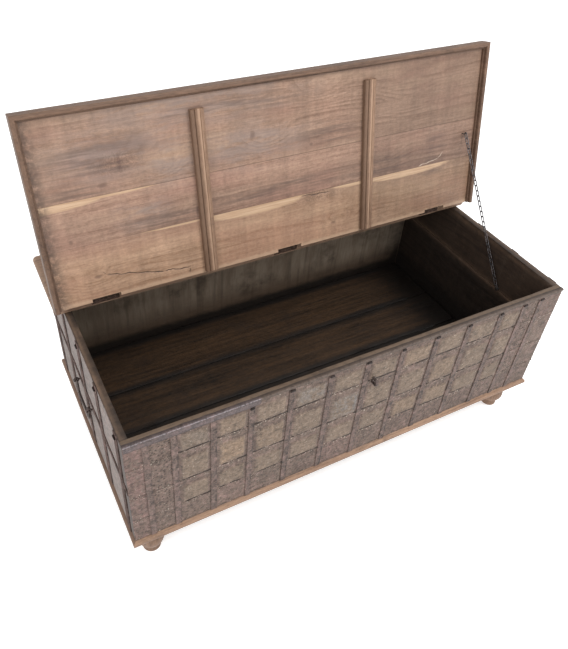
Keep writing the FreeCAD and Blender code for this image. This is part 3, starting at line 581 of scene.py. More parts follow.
class Nodes:
    """Adds shader nodes to one tree, and holds the colour so far.

    An input is given a number, a vector, a Value, or a colour as three numbers from 0 to 255.
    """

    def __init__(self, tree):
        self.tree = tree
        self.colour = None

    def add(self, kind, inputs=(), output=0, **settings):
        node = self.tree.nodes.new("ShaderNode" + kind)
        for name, value in settings.items():
            setattr(node, name, value)
        for name, value in dict(inputs).items():
            self.feed(node.inputs[name], value)
        return Value(self, node.outputs[output])

    def feed(self, socket, value):
        if isinstance(value, Value):
            self.tree.links.new(value.socket, socket)
        elif socket.type == "RGBA" and len(value) == 3:
            socket.default_value = linear(*value)
        else:
            socket.default_value = value

    def math(self, operation, *values):
        return self.add("Math", enumerate(values), operation=operation)

    def vector(self, operation, *values, output=0):
        return self.add("VectorMath", enumerate(values), output, operation=operation)

    def mix(self, share, first, second, blend="MIX"):
        return self.add("Mix", {0: share, 6: first, 7: second}, 2, data_type="RGBA", blend_type=blend)

    def cloud(self, vector, scale, detail=2.0, rough=0.5, bend=0.0, move=None, output=0):
        """Noise from 0 to 1, with one scale or with one for each axis."""
        if isinstance(scale, tuple):
            vector = self.vector("MULTIPLY", vector, scale)
            scale = 1.0
        if move:
            vector = self.vector("ADD", vector, move)
        return self.add("TexNoise", {"Vector": vector, "Scale": scale, "Detail": detail, "Roughness": rough,
                                     "Distortion": bend}, output)

    def mark(self, name):
        return self.add("Attribute", output="Fac", attribute_name=name)

    def place(self):
        return self.add("TexCoord", output="Object")

    def group(self, name, **inputs):
        """The outputs of a group. Its inputs are named as its sockets, in small letters."""
        inputs = {key.capitalize(): value for key, value in inputs.items()}
        return self.add("Group", inputs, node_tree=bpy.data.node_groups[name]).all()

    def grain(self, vector, dark, light, lines, figure, contrast, streaks, swell=0.0):
        """Set the colour to timber, and give its height and roughness."""
        self.colour, height, rough = self.group(
            "Timber grain", vector=vector, dark=dark, light=light, lines=lines, figure=figure, swell=swell,
            contrast=contrast, streaks=streaks)
        return height, rough

    def paint(self, share, colour, blend="MIX"):
        """Lay a colour over the colour so far."""
        self.colour = self.mix(share, self.colour, colour, blend)

    def shade(self, share):
        """Multiply the colour so far."""
        self.paint(1.0, self.add("CombineColor", {0: share, 1: share, 2: share}), "MULTIPLY")

    def finish(self, rough, height, depth=0.0004, strength=0.8):
        """Feed the shader the colour so far, a roughness and the normal of a height."""
        normal = self.add("Bump", {"Height": height, "Distance": depth, "Strength": strength})
        inputs = self.tree.nodes["Principled BSDF"].inputs
        for name, value in (("Base Color", self.colour), ("Roughness", rough), ("Normal", normal)):
            self.feed(inputs[name], value)


def largest(values):
    """The largest of several values."""
    total, *others = values
    for value in others:
        total = total | value
    return total


def new_group(name, inputs, outputs, work):
    """A shader group: work turns the values of its inputs, in their order, into its outputs."""
    tree = bpy.data.node_groups.new(name, "ShaderNodeTree")
    for socket, kind in inputs.items():
        tree.interface.new_socket(socket, in_out="INPUT", socket_type="NodeSocket" + kind)
    for socket, kind in outputs.items():
        tree.interface.new_socket(socket, in_out="OUTPUT", socket_type="NodeSocket" + kind)
    nodes = Nodes(tree)
    given = tree.nodes.new("NodeGroupInput").outputs
    result = tree.nodes.new("NodeGroupOutput").inputs
    values = work(nodes, *[Value(nodes, given[socket]) for socket in inputs])
    for socket, value in zip(outputs, values):
        nodes.feed(result[socket], value)


def timber_grain(nodes, vector, dark, light, lines, figure, swell, contrast, streaks):
    """Grain along the vector's X: growth rings, streaks, fibres and pores between two colours.

    The rings are the whole-number levels of a height: lines a metre across the grain, bent by a
    wave along it and raised by a stretched cloud. Swell raises it further, so a round swell draws
    rings round itself, as a knot does.
    """
    wave = nodes.cloud(vector, (2.4, 5.0, 5.0))
    across = nodes.vector("DOT_PRODUCT", vector, (0.0, 1.0, 0.62), output="Value")
    broad = nodes.cloud(vector, (1.3, 9.0, 9.0), 2.0, 0.5, 0.3)
    turn = nodes.math("FRACT", (wave * 0.05 + across) * lines + swell + broad * figure)
    late = turn.step(0.30, 0.90) * turn.step(0.92, 1.0, 1.0, 0.0)
    late = late * nodes.cloud(vector, (2.0, 26.0, 26.0)).step(0.38, 0.66)
    patch = nodes.cloud(vector, (2.6, 8.0, 8.0), 3.0, 0.6)
    streak = nodes.cloud(vector, (2.0, 75.0, 75.0), 4.0, 0.7, 0.2)
    fibre = nodes.cloud(vector, (9.0, 240.0, 240.0), 3.0, 0.65)
    mottle = nodes.cloud(vector, (55.0, 120.0, 120.0), 4.0, 0.75)
    pore = nodes.cloud(vector, (60.0, 950.0, 950.0), 1.0).step(0.60, 0.72)
    lightness = (patch - 0.5) * 0.9 + 0.58 - late * contrast * 0.42 + (streak - 0.5) * streaks * 1.5
    colour = nodes.mix(lightness + (mottle - 0.5) * 1.1 + (fibre - 0.5), dark, light)
    colour = nodes.mix(pore * 0.45, colour, (0.02, 0.013, 0.01, 1.0))
    return colour, fibre * 0.6 - late * 0.35 - pore * 0.6, fibre.step(0.3, 0.7, 0.5, 0.72)


def blotch(nodes, vector, centre, half, wander, detail, softness):
    """A soft-edged oblong spot at a place: 1 inside, 0 outside, with an outline that wanders.

    The vector less the centre is divided by the half size, moved by a cloud, and its length is
    compared with 1.
    """
    stray = nodes.vector("ADD", nodes.cloud(vector, detail, 3.0, 0.6, output="Color"), (-0.5, -0.5, -0.5))
    stray = nodes.add("VectorMath", {0: stray, "Scale": wander}, operation="SCALE")
    share = nodes.vector("DIVIDE", nodes.vector("SUBTRACT", vector, centre), half)
    reach = nodes.vector("LENGTH", nodes.vector("ADD", share, stray), output="Value")
    return (reach.step(1.0 - softness, softness + 1.0, 1.0, 0.0),)


def grime(nodes, vector, scale):
    """Dark dirt and dust: a mask of uneven patches for each."""
    broad = nodes.cloud(vector, scale, 4.0, 0.65)
    fine = nodes.cloud(vector, scale * 6.0, 4.0, 0.7, move=(3.1, 1.7, 5.3))
    return broad.step(0.5, 0.68) * fine.step(0.3, 0.6), (fine * 0.6 + broad * 0.5).step(0.5, 0.72)


def new_material(name, metallic=0.0, specular=0.4):
    """The nodes of a new material, ready for its colour, roughness and normal."""
    material = bpy.data.materials.new(name)
    material.use_nodes = True
    inputs = material.node_tree.nodes["Principled BSDF"].inputs
    inputs["Metallic"].default_value = metallic
    inputs["Specular IOR Level"].default_value = specular
    return Nodes(material.node_tree)


def timber_material(name, dark, light, turn=ALONG_X, lines=70.0, figure=5.0, worn=None, dirt=0.35,
                    runs=0.0, contrast=1.0, painted_light=None, streaks=1.0, low=None):
    """Timber with its grain along X after a turn, dirt in patches and dark runs down its height.

    worn is the colour that shows where the wear mark says the edges are worn. The painted-light colour is
    laid where the mark inner says, and the painted-shade mark lays a dark painted shade. low is the colour
    of the painted shade that darkens a moulding towards its foot; with it, the faces inside the case get a
    dark painted shade too.
    """
    nodes = new_material(name)
    place = nodes.place()
    vector = nodes.add("Mapping", {"Vector": place, "Rotation": turn})
    height, rough = nodes.grain(vector, dark, light, lines, figure, contrast, streaks)
    patches, scuffs = nodes.group("Grime", vector=vector, scale=7.0)
    # Painted light: lighter where the mark inner says, up the back wall.
    if painted_light:
        painted_light_patches = nodes.cloud(place, (26.0, 26.0, 5.0), 4.0, 0.7)
        nodes.paint(nodes.mark("inner") * painted_light_patches.step(0.3, 0.7, 0.45, 1.0), painted_light)
    if worn:
        nodes.paint(nodes.mark("rub") * scuffs.step(0.0, 0.8, 0.5, 1.0), worn)
    if runs:
        run = nodes.cloud(place, (58.0, 58.0, 2.6), 4.0, 0.7)
        nodes.paint(run.step(0.52, 0.72) * runs, (104, 92, 80))
        nodes.paint(run.step(0.5, 0.32) * runs, (36, 30, 26))
    nodes.paint(patches * dirt, (38, 28, 22))
    ragged = nodes.cloud(place, (20.0, 42.0, 42.0), 4.0, 0.7) - 0.5
    # Painted shade where its mark says: at the foot of the walls, in the corners, along the rims and on the
    # floor.
    gloom = (ragged * 0.6 + nodes.mark("gloom")).step(0.1, 0.95) * nodes.mark("gloom").step(0.0, 0.1)
    nodes.paint(gloom * 0.92, (20, 16, 14))
    # Painted shade: the moulding darkens towards its foot, and the faces inside the case are dark.
    if low:
        x, y, z = nodes.add("SeparateXYZ", {0: place}).all()
        nodes.paint((ragged * (6.0 * MM) + z).step(MOULDING_LOW, MOULDING_HIGH, 0.8, 0.0), low)
        outward = (abs(x) - HALF_LENGTH) | (abs(y) - HALF_DEPTH)
        nodes.paint(outward.step(-15.0 * MM, -12.0 * MM, 1.0, 0.0) * z.step(0.118, 0.126), (22, 17, 14))
    nodes.finish(rough, height)


def batten_material(name, middle):
    """A batten's timber: painted shade on its left half, and a painted highlight on a ridge right of its
    middle.
    """
    nodes = new_material(name)
    place = nodes.place()
    vector = nodes.add("Mapping", {"Vector": place, "Rotation": ALONG_Z})
    height, rough = nodes.grain(vector, (112, 85, 66), (150, 120, 98), 60.0, 1.0, 0.2, 0.6)
    across = (nodes.cloud(place, (40.0, 9.0, 9.0), 3.0, 0.6) - 0.5) * 0.012
    across = across + (nodes.add("SeparateXYZ", {0: place}) - middle)
    # Painted shade on the left half, then a painted highlight along the ridge.
    nodes.paint(across.step(-6.0 * MM, 0.0, 0.55, 0.0), (92, 68, 52))
    painted_ridge_highlight = across.step(-1.0 * MM, 3.0 * MM) * across.step(7.0 * MM, 12.0 * MM, 1.0, 0.0)
    nodes.paint(painted_ridge_highlight * 0.6, (182, 150, 126))
    nodes.paint(nodes.group("Grime", vector=place, scale=11.0)[0] * 0.3, (60, 46, 38))
    nodes.finish(rough, height)


def lid_plan(nodes):
    """A vector of the lid's own: X from the case's left end, Y from the hinge line, flat on the lid.

    The first Mapping node turns the open lid's place back about the hinge pin, where Y is the
    closed Y less the pin's.
    """
    turn = Matrix.Rotation(LID_OPEN_ANGLE, 3, "X")
    closed = nodes.add("Mapping", {"Vector": nodes.place(), "Location": -(turn @ HINGE_PIN),
                                   "Rotation": (LID_OPEN_ANGLE, 0.0, 0.0)})
    return nodes.add("Mapping", {"Vector": closed, "Location": (HALF_LENGTH, 0.0, 0.0),
                                 "Scale": (1.0, -1.0, 1.0)})


def broken_line(nodes, flat, u0, s0, u1, s1, half):
    """A thin broken line from one place to another: the distance from it, bent by a cloud."""
    length = math.hypot(u1 - u0, s1 - s0)
    du = (u1 - u0) / length
    ds = (s1 - s0) / length
    offset = nodes.vector("SUBTRACT", flat, (u0, s0, 0.0))
    along = nodes.vector("DOT_PRODUCT", offset, (du, ds, 0.0), output="Value")
    off = nodes.vector("DOT_PRODUCT", offset, (-ds, du, 0.0), output="Value")
    stray = nodes.cloud(flat, 26.0, 3.0, 0.6) * 0.016 + off - 0.008
    within = along.step(0.0, 0.01) * along.step(length - 0.01, length, 1.0, 0.0)
    return abs(stray).step(0.3 * half, half, 1.0, 0.0) * within


def lid_material(name, dark, light):
    """The underside of the lid: figured planks with sapwood along two seams, knots and a crack."""
    nodes = new_material(name, specular=0.45)
    along, away, _ = nodes.add("SeparateXYZ", {0: lid_plan(nodes)}).all()
    flat = nodes.add("CombineXYZ", {"X": along, "Y": away})

    def blotches(rows, wander, detail, softness):
        return largest([nodes.group("Blotch", vector=flat, centre=(u, s, 0.0), half=(du, ds, 1.0),
                                    wander=wander, detail=detail, softness=softness)[0]
                        for u, s, du, ds in rows])

    def lines(rows):
        return largest([broken_line(nodes, flat, *row) for row in rows])

    rear = nodes.math("LESS_THAN", away, LID_SEAMS[0])
    front = nodes.math("GREATER_THAN", away, LID_SEAMS[1])
    plank = rear + front * 2.0
    own = nodes.vector("ADD", flat, nodes.add("CombineXYZ", {"X": plank * 3.7, "Z": plank * 1.9}))
    swell = blotches(LID_KNOTS, 0.3, 14.0, 0.95) * 2.6
    height, _ = nodes.grain(own, dark, light, 62.0, 6.0, 0.95, 0.8, swell)
    nodes.paint(nodes.cloud(own, (3.0, 9.0, 9.0), 3.0, 0.55).step(0.45, 0.65, 0.0, 0.45), (156, 112, 96))
    tan = nodes.cloud(own, (2.2, 12.0, 12.0), 3.0, 0.6, move=(5.0, 2.0, 1.0))
    nodes.paint(tan.step(0.5, 0.7, 0.0, 0.4), (196, 166, 138))
    middle = 1.0 - (rear * away.step(0.19, 0.10) + front)
    soft = away.step(0.10, 0.19, 1.0, 0.0) * along.step(0.15, 0.3, 1.0, 0.0)
    nodes.paint((soft + rear * along.step(0.15, 0.3)) * 0.32, (172, 138, 106))
    nodes.paint(middle * 0.3, (156, 122, 108))
    nodes.paint(front * 0.34, (142, 113, 96))
    mottled = nodes.cloud(flat, 105.0, 5.0, 0.75)
    # Faint streaks across the grain.
    cross_streaks = nodes.cloud(flat, (30.0, 3.5, 1.0), 3.0, 0.6)
    shade = (mottled - 0.5) * 0.75 + 1.0 + (cross_streaks - 0.5) * 0.7
    # Painted shade towards the right end; the front plank and most of the middle plank are darker too.
    shade = shade * along.step(0.74, 1.02, 0.97, 0.7) * (front * -0.12 + 1.0)
    nodes.shade(shade * (middle * away.step(0.215, 0.25, 1.0, 0.2) * -0.17 + 1.0))
    grey = nodes.cloud(own, (7.0, 30.0, 30.0), 4.0, 0.7).step(0.36, 0.6)
    nodes.paint(blotches(LID_GREY, 0.9, 9.0, 0.8) * grey * 0.55, (138, 124, 118))
    dull = nodes.cloud(own, (4.0, 60.0, 60.0), 4.0, 0.7).step(0.4, 0.62)
    nodes.paint(blotches(LID_SHADES, 0.8, 16.0, 0.7) * dull * 0.7, (92, 74, 66))
    fine = nodes.cloud(own, (6.0, 180.0, 180.0), 3.0, 0.6)
    sap = blotches(LID_SAP_REAR, 0.22, 26.0, 0.13) * rear
    sap = sap | blotches(LID_SAP_MIDDLE, 0.22, 26.0, 0.13) * (1.0 - front)
    nodes.paint(sap * 0.92, nodes.mix(fine.step(0.35, 0.7), (180, 146, 116), (206, 176, 146)))
    curl = abs(nodes.cloud(flat, 42.0, 3.0, 0.6, 2.2) - 0.5).step(0.0, 0.08, 1.0, 0.0)
    nodes.paint(curl * blotches(LID_BURLS, 0.8, 30.0, 0.7) * 0.55, (90, 70, 60))
    nodes.paint(blotches(LID_DARK_SPOTS, 0.8, 60.0, 0.6) * 0.5, (84, 62, 54))
    crack = lines(LID_CRACKS)
    nodes.paint(crack * 0.85, (56, 42, 36))
    nodes.paint(lines(LID_SCRATCHES) * 0.7, (214, 196, 176))
    seam = largest([abs(away - level).step(0.0002, 0.0012, 0.75, 0.0) for level in LID_SEAMS])
    nodes.paint(seam * (front | along.step(0.12, 0.3)) * 0.8, (84, 64, 52))
    edge = nodes.cloud(flat, 40.0, 3.0) * 0.012 + away
    nodes.paint(edge.step(0.012, 0.02, 0.55, 0.0), (190, 160, 134))
    # Darker beside the left lip, and in faint dirt patches.
    dirt = along.step(-0.005, 0.03, 0.7, 0.0) | nodes.group("Grime", vector=flat, scale=9.0)[0] * 0.12
    nodes.paint(dirt * nodes.cloud(flat, 60.0, 4.0, 0.7).step(0.3, 0.6), (78, 64, 56))
    nodes.finish(fine.step(0.3, 0.7, 0.42, 0.6), mottled * 1.2 + height - crack * 2.0)


def metal_clouds(nodes):
    """The place in the metal, with its fine and its coarse cloud."""
    vector = nodes.place()
    fine = nodes.cloud(vector, 215.0, 4.0, 0.7)
    return vector, fine, nodes.cloud(vector, 98.0, 5.0, 0.75, move=(6.0, 1.0, 3.0))


def plate_material(name, ground, panel, rim, speckle=1.0, specular=0.25):
    """Old painted sheet: a dull ground, a browner raised panel with a greyer rim, dirt and flecks."""
    nodes = new_material(name, specular=specular)
    vector, fine, coarse = metal_clouds(nodes)
    spotty = nodes.cloud(vector, 58.0, 5.0, 0.7)
    streak = nodes.cloud(vector, (34.0, 34.0, 190.0), 3.0, 0.65)
    crumb = nodes.cloud(vector, 210.0, 3.0, 0.7, move=(4.0, 2.0, 7.0))
    raised = nodes.mark("panel")
    lip = nodes.mark("lip")
    drift = spotty - 0.5
    centre = (drift * 2.6 + nodes.mark("middle")).step(-0.1, 1.0)
    broad = nodes.cloud(vector, 9.0, 4.0, 0.6).step(0.35, 0.65)
    nodes.colour = nodes.mix(broad, ground, nodes.mix(0.35, ground, rim))
    nodes.paint(spotty.step(0.47, 0.66, 0.0, 0.45), (128, 104, 98))
    nodes.paint((drift * 1.8 + raised).step(0.1, 1.0) * 0.8, rim)
    nodes.paint(raised * centre * 0.85, panel)
    nodes.paint(nodes.mark("warm") * centre * 0.6, (142, 117, 94))
    nodes.paint(nodes.mark("cool") * spotty.step(0.4, 0.6), (104, 106, 108))
    nodes.paint(nodes.mark("red") * spotty.step(0.36, 0.6, 0.15, 0.6), (122, 94, 90))
    shade = (fine - 0.5) * 2.0 + (coarse - 0.5) * 1.9 + (streak - 0.5) + drift * 0.9
    nodes.shade(shade * speckle + (nodes.mark("tone") - 0.5) * 0.16 + 1.0)
    nodes.paint(nodes.mark("rub") * 0.3, (150, 138, 126))
    fleck = (crumb - (lip * -0.09 + 0.66)).step(0.0, 0.04)
    nodes.paint(fleck * (0.75 * speckle), (196, 184, 168))
    dirt = nodes.group("Grime", vector=vector, scale=16.0)[0]
    hole = (lip * 0.04 + crumb).step(0.36, 0.31) * (0.55 * speckle)
    # Dark: dirt, holes and punched dots, and the seam mark: painted shadow along the plates' lower edges,
    # and dirt with painted shade beside the end straps.
    dark = largest([nodes.mark("pit") * 0.5 + dirt * 0.25, hole, nodes.mark("hole"),
                    nodes.mark("seam") * 0.92])
    nodes.paint(dark, (42, 33, 28))
    nodes.finish(fine.step(0.3, 0.7, 0.5, 0.78), fine + spotty, 0.0012, 0.9)


def iron_material(name, base, lights, metallic=0.0, rough=(0.42, 0.68), side=0.0, speckle=1.0, far=None,
                  specular=0.4, blend=0.35):
    """Dark iron: a base colour, lighter where it is rubbed and along painted highlights, with rust and dirt
    in patches.

    side lays painted shade along a strap's long edges by its mark across, unevenly and more on the first
    edge. The mark far brings in another colour. The dark mark lays dirt in the hollows of hammered faces and
    painted shade on the edge strip, and darkens the folded heads.
    """
    nodes = new_material(name, metallic, specular)
    vector, fine, coarse = metal_clouds(nodes)
    spotty = nodes.cloud(vector, 46.0, 4.0, 0.7, move=(2.0, 5.0, 1.0))
    nodes.colour = nodes.mix(fine.step(0.35, 0.65), base, nodes.mix(blend, base, lights))
    nodes.paint(spotty.step(0.4, 0.65, 0.0, 0.4), nodes.mix(0.6, base, (132, 104, 100)))
    nodes.paint(nodes.group("Grime", vector=vector, scale=22.0)[0] * 0.4, (74, 56, 46))
    if far:
        nodes.paint(nodes.mark("far"), far)
    # Painted shade along the strap's long edges.
    if side:
        across = nodes.mark("across")
        first = (spotty * 0.5 + across).step(0.16, 0.38, 1.0, 0.0) * 0.35
        second = (spotty * -0.6 + across).step(0.32, 0.66)
        torn = nodes.cloud(vector, 60.0, 4.0, 0.75, move=(7.0, 3.0, 5.0)).step(0.42, 0.58)
        nodes.paint((first | second) * torn * side, (46, 35, 31))
    shade = (fine - 0.5) * 1.5 + (coarse - 0.5) * 1.9 + (spotty - 0.5) * 1.3
    nodes.shade(shade * speckle + (nodes.mark("tone") - 0.5) * 0.2 + 1.0)
    # Lighter where rubbed, and the edge strip's painted highlight along its fold.
    nodes.paint(nodes.mark("rub") * fine.step(0.3, 0.6) * 0.55, lights)
    # Dirt in hollows, and painted shade on the edge strip's seat and lower edge.
    nodes.paint(nodes.mark("pit") * 0.7, (34, 27, 24))
    nodes.finish(fine.step(0.3, 0.7, *rough), fine + spotty, 0.0008 * speckle)


# Settings


def length_setting(name, text, value, most):
    return bpy.props.FloatProperty(name=name, description=text, default=value * MM, min=0.0, max=most * MM,
                                   unit="LENGTH", precision=5)


def colour_setting(name, text, colour):
    return bpy.props.FloatVectorProperty(name=name, description=text, default=linear(*colour)[:3], size=3,
                                         min=0.0, max=1.0, subtype="COLOR")


class ChestSettings(bpy.types.PropertyGroup):
    """Sizes and colours of the chest's looks."""

    board_wear: length_setting("Board edge wear", "How far the edges of the boards are worn back", 1.1, 4)
    plate_dent: length_setting("Plate dents", "How deep the dents in the sheet metal are", 0.45, 2)
    plate_tear: length_setting("Torn plate edges", "How far the lower edges of the plates wander", 1.3, 3)
    plate_ground: colour_setting("Plate ground", "Colour of the plates round their panels", (99, 83, 75))
    plate_panel: colour_setting("Plate panel", "Colour of the middle of the raised panels", (116, 100, 86))
    strap_colour: colour_setting("Straps", "Colour of the iron straps", (83, 68, 62))
    lid_light: colour_setting("Lid timber", "Lighter colour of the timber of the lid", (192, 158, 134))


# Steps


class CHEST_OT_materials(bpy.types.Operator):
    """Build the shader groups and the materials of every piece"""
    bl_idname = "chest.materials"
    bl_label = "Materials"

    def execute(self, context):
        settings = context.scene.chest_settings
        ground, panel, strap, lid_light = [
            tuple(colour) + (1.0,) for colour in (settings.plate_ground, settings.plate_panel,
                                                  settings.strap_colour, settings.lid_light)]
        new_group("Timber grain", {"Vector": "Vector", "Dark": "Color", "Light": "Color", "Lines": "Float",
                                   "Figure": "Float", "Swell": "Float", "Contrast": "Float",
                                   "Streaks": "Float"},
                  {"Color": "Color", "Height": "Float", "Rough": "Float"}, timber_grain)
        new_group("Blotch", {"Vector": "Vector", "Centre": "Vector", "Half": "Vector", "Wander": "Float",
                             "Detail": "Float", "Softness": "Float"}, {"Mask": "Float"}, blotch)
        new_group("Grime", {"Vector": "Vector", "Scale": "Float"}, {"Dirt": "Float", "Dust": "Float"}, grime)
        timber_material("Wall timber", (80, 65, 53), (109, 91, 75), worn=(90, 73, 59), runs=0.3,
                        contrast=0.3, dirt=0.5, painted_light=(164, 148, 130), streaks=0.6)
        timber_material("Wall timber across", (46, 36, 30), (80, 64, 52), ALONG_Y, worn=(134, 108, 88),
                        runs=0.2, streaks=0.6)
        timber_material("Floor timber", (19, 13, 8), (73, 52, 33), worn=(30, 23, 17), contrast=0.3, dirt=0.5)
        timber_material("Base timber", (108, 81, 64), (162, 131, 107), lines=90.0, figure=3.0, contrast=0.5,
                        streaks=0.9, low=(98, 72, 56))
        timber_material("Base timber across", (84, 60, 45), (126, 97, 77), ALONG_Y, 90.0, 3.0, contrast=0.4,
                        streaks=0.7, low=(84, 62, 48))
        timber_material("Foot timber", (100, 75, 59), (148, 119, 98), ALONG_Z, 110.0, 2.0, contrast=0.5,
                        streaks=0.6)
        timber_material("Ledge timber", (120, 95, 78), (168, 138, 115))
        lid_material("Lid timber", (120, 88, 68), lid_light)
        for side, middle in BATTEN_MIDDLES.items():
            batten_material("Batten timber " + side, middle)
        for name, turn in (("Lip timber", ALONG_X), ("Lip timber across", ALONG_Y)):
            timber_material(name, (76, 56, 44), (122, 95, 77), turn, 120.0, 3.0, contrast=0.4)
        plate_material("Front plate metal", ground, panel, (113, 98, 87))
        plate_material("End plate metal", (118, 107, 102), (136, 126, 120), (128, 119, 113), 0.9, 0.3)
        iron_material("Strap iron", strap, (124, 108, 98), side=0.7, speckle=1.5, specular=0.25)
        iron_material("End strap iron", (80, 67, 62), (112, 98, 92), side=0.7, rough=(0.8, 0.95),
                      specular=0.05)
        # The light colour here is the painted highlight along the strip's fold.
        iron_material("Edge strip metal", (82, 71, 70), (196, 188, 192), speckle=0.8, far=(90, 76, 67),
                      specular=0.3, blend=0.08)
        iron_material("Forged iron", (44, 38, 36), (112, 102, 96), 0.5)
        iron_material("Chain steel", (34, 32, 34), (150, 148, 150), 0.7, (0.3, 0.5))
        iron_material("Hinge steel", (74, 58, 48), (132, 112, 96), 0.4)
        return {"FINISHED"}


def inside_marks(points, seam):
    """Where wall points lie on the inside: painted light that rises with the level, and painted shade.

    The painted light lies up the back wall. The painted shade lies at the foot, in the right corner, along
    the top of the inner faces and on the end walls' rims at their inner edges. Both are products of 3t²-2t³
    steps of the level and of the place along the chest. The painted shade of the right end lifts along the
    seam of its boards.
    """
    x, y, z = points.T
    inside = np.abs(x) < HALF_LENGTH - WALL_THICKNESS + 2.0 * MM
    inside = inside & (np.abs(y) < HALF_DEPTH - WALL_THICKNESS + 2.0 * MM)
    # Painted light, rising up the back wall and stronger to the right.
    painted_light = smooth((y - 0.30) / 0.02) * smooth((z - 0.185) / 0.10) * (1.0 + 0.4 * smooth((x - 0.05) / 0.3))
    # Painted shade: at the foot, in the right corner, along the top of the inner faces and on the end rims'
    # inner edges.
    right = smooth((x - 0.60) / 0.03)
    foot = 1.0 - smooth((z - BASE_TOP - 14.0 * MM) / ((52.0 + 140.0 * right) * MM))
    corner = smooth((x - 0.50) / 0.15) * 0.66 * (1.0 - 0.5 * smooth((z - 0.33) / 0.11))
    corner = corner * (1.0 - 0.9 * right * np.exp(-((z - seam) / (5.0 * MM)) ** 2))
    rim = smooth((z - RIM_LEVEL + 3.0 * MM) / (2.0 * MM))
    side = rim * smooth((0.656 - np.abs(x)) / (10.0 * MM)) * 0.8 * (np.abs(y) < HALF_DEPTH - WALL_THICKNESS)
    gloom = inside * np.maximum.reduce([foot, corner, 0.3 * rim])
    return {"inner": inside * painted_light, "gloom": np.maximum(gloom, side)}


def floor_painted_shade(points, low, high):
    """Painted shade on the floor: dark bands at the seams between its boards, falling off as exp(-(d / w)⁴),
    a dark right end, and dark at the back and the left end.
    """
    x, y, _ = points.T
    wide = (17.0 + 7.0 * noise_at(x, 0.2, 0.0, 0.07, 171, 3)) * MM
    seam = np.maximum(np.exp(-((y - low[1]) / wide) ** 4), np.exp(-((high[1] - y) / wide) ** 4))
    seam = seam * (0.8 + 0.2 * noise_at(x, 0.2, 0.0, 0.11, 172, 2))
    back = 1.0 - smooth((0.33 - y) / 0.045)
    right = smooth((x - 0.34) / 0.24) * smooth((0.12 - y) / 0.25) * 0.85
    end = smooth((x - 0.44) / 0.16) * 0.85
    left = 1.0 - smooth((x + 0.64) / 0.06)
    return np.maximum.reduce([seam, back, right, end, 0.7 * left])


class CHEST_OT_boards(bpy.types.Operator):
    """Put worn boards in place of the walls' and the floor's plain ones"""
    bl_idname = "chest.boards"
    bl_label = "Case and floor boards"

    def execute(self, context):
        wear = context.scene.chest_settings.board_wear
        end_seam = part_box("wall_right_lower_board")[1][2]
        sides = ("front", "back", "left", "right")
        walls = [(side, level) for side in sides for level in ("lower", "upper")]
        for seed, (side, level) in enumerate(walls, 100):
            node = "wall_%s_%s_board" % (side, level)
            across = side in ("left", "right")
            shell = worn_board(*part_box(node), int(across), seed, wear)
            # The inside faces get painted light and painted shade.
            shell.marked(rub=shell.marks["rub"] * smooth((shell.points[:, 2] - BASE_TOP) / 0.08),
                         **inside_marks(shell.points, end_seam))
            material = "Wall timber across" if across else "Wall timber"
            new_piece("worn_" + node, shell, "chest", material, node)
        for seed, name in enumerate(("front", "second", "third", "back"), 150):
            node = "floor_board_" + name
            low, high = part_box(node)
            shell = worn_board(low, high, 0, seed, wear)
            # Painted shade on the floor boards.
            shell.marked(gloom=floor_painted_shade(shell.points, low, high))
            new_piece("worn_" + node, shell, "chest", "Floor timber", node)
        return {"FINISHED"}


def row_levels(shares):
    """The levels between rows of plates, from the rim down to the base frame."""
    return [SKIN_TOP] + [RIM_LEVEL - share * WALL_HEIGHT for share in shares] + [BASE_TOP]


def strap_places(shares, half):
    return [-half + share * 2.0 * half for share in shares]


def punched_dots(x, z, seed):
    """How deep round pits sink, 0 to 1: one pit in most squares of a jittered lattice."""
    pitch = 9.0 * MM
    sink = np.zeros_like(x)
    for di, dj in np.ndindex(3, 3):
        i = np.floor(x / pitch).astype(np.int64) + di - 1
        j = np.floor(z / pitch).astype(np.int64) + dj - 1
        stray_x, stray_z, there = [lattice(i, j, np.full_like(i, k), seed) for k in (1, 2, 3)]
        away = np.hypot(x - (i + 0.5 + 0.3 * stray_x) * pitch, z - (j + 0.5 + 0.3 * stray_z) * pitch)
        sink = np.maximum(sink, np.clip(there + 0.3, 0.0, 0.4) / 0.4 * np.exp(-(away / (2.3 * MM)) ** 4))
    return sink


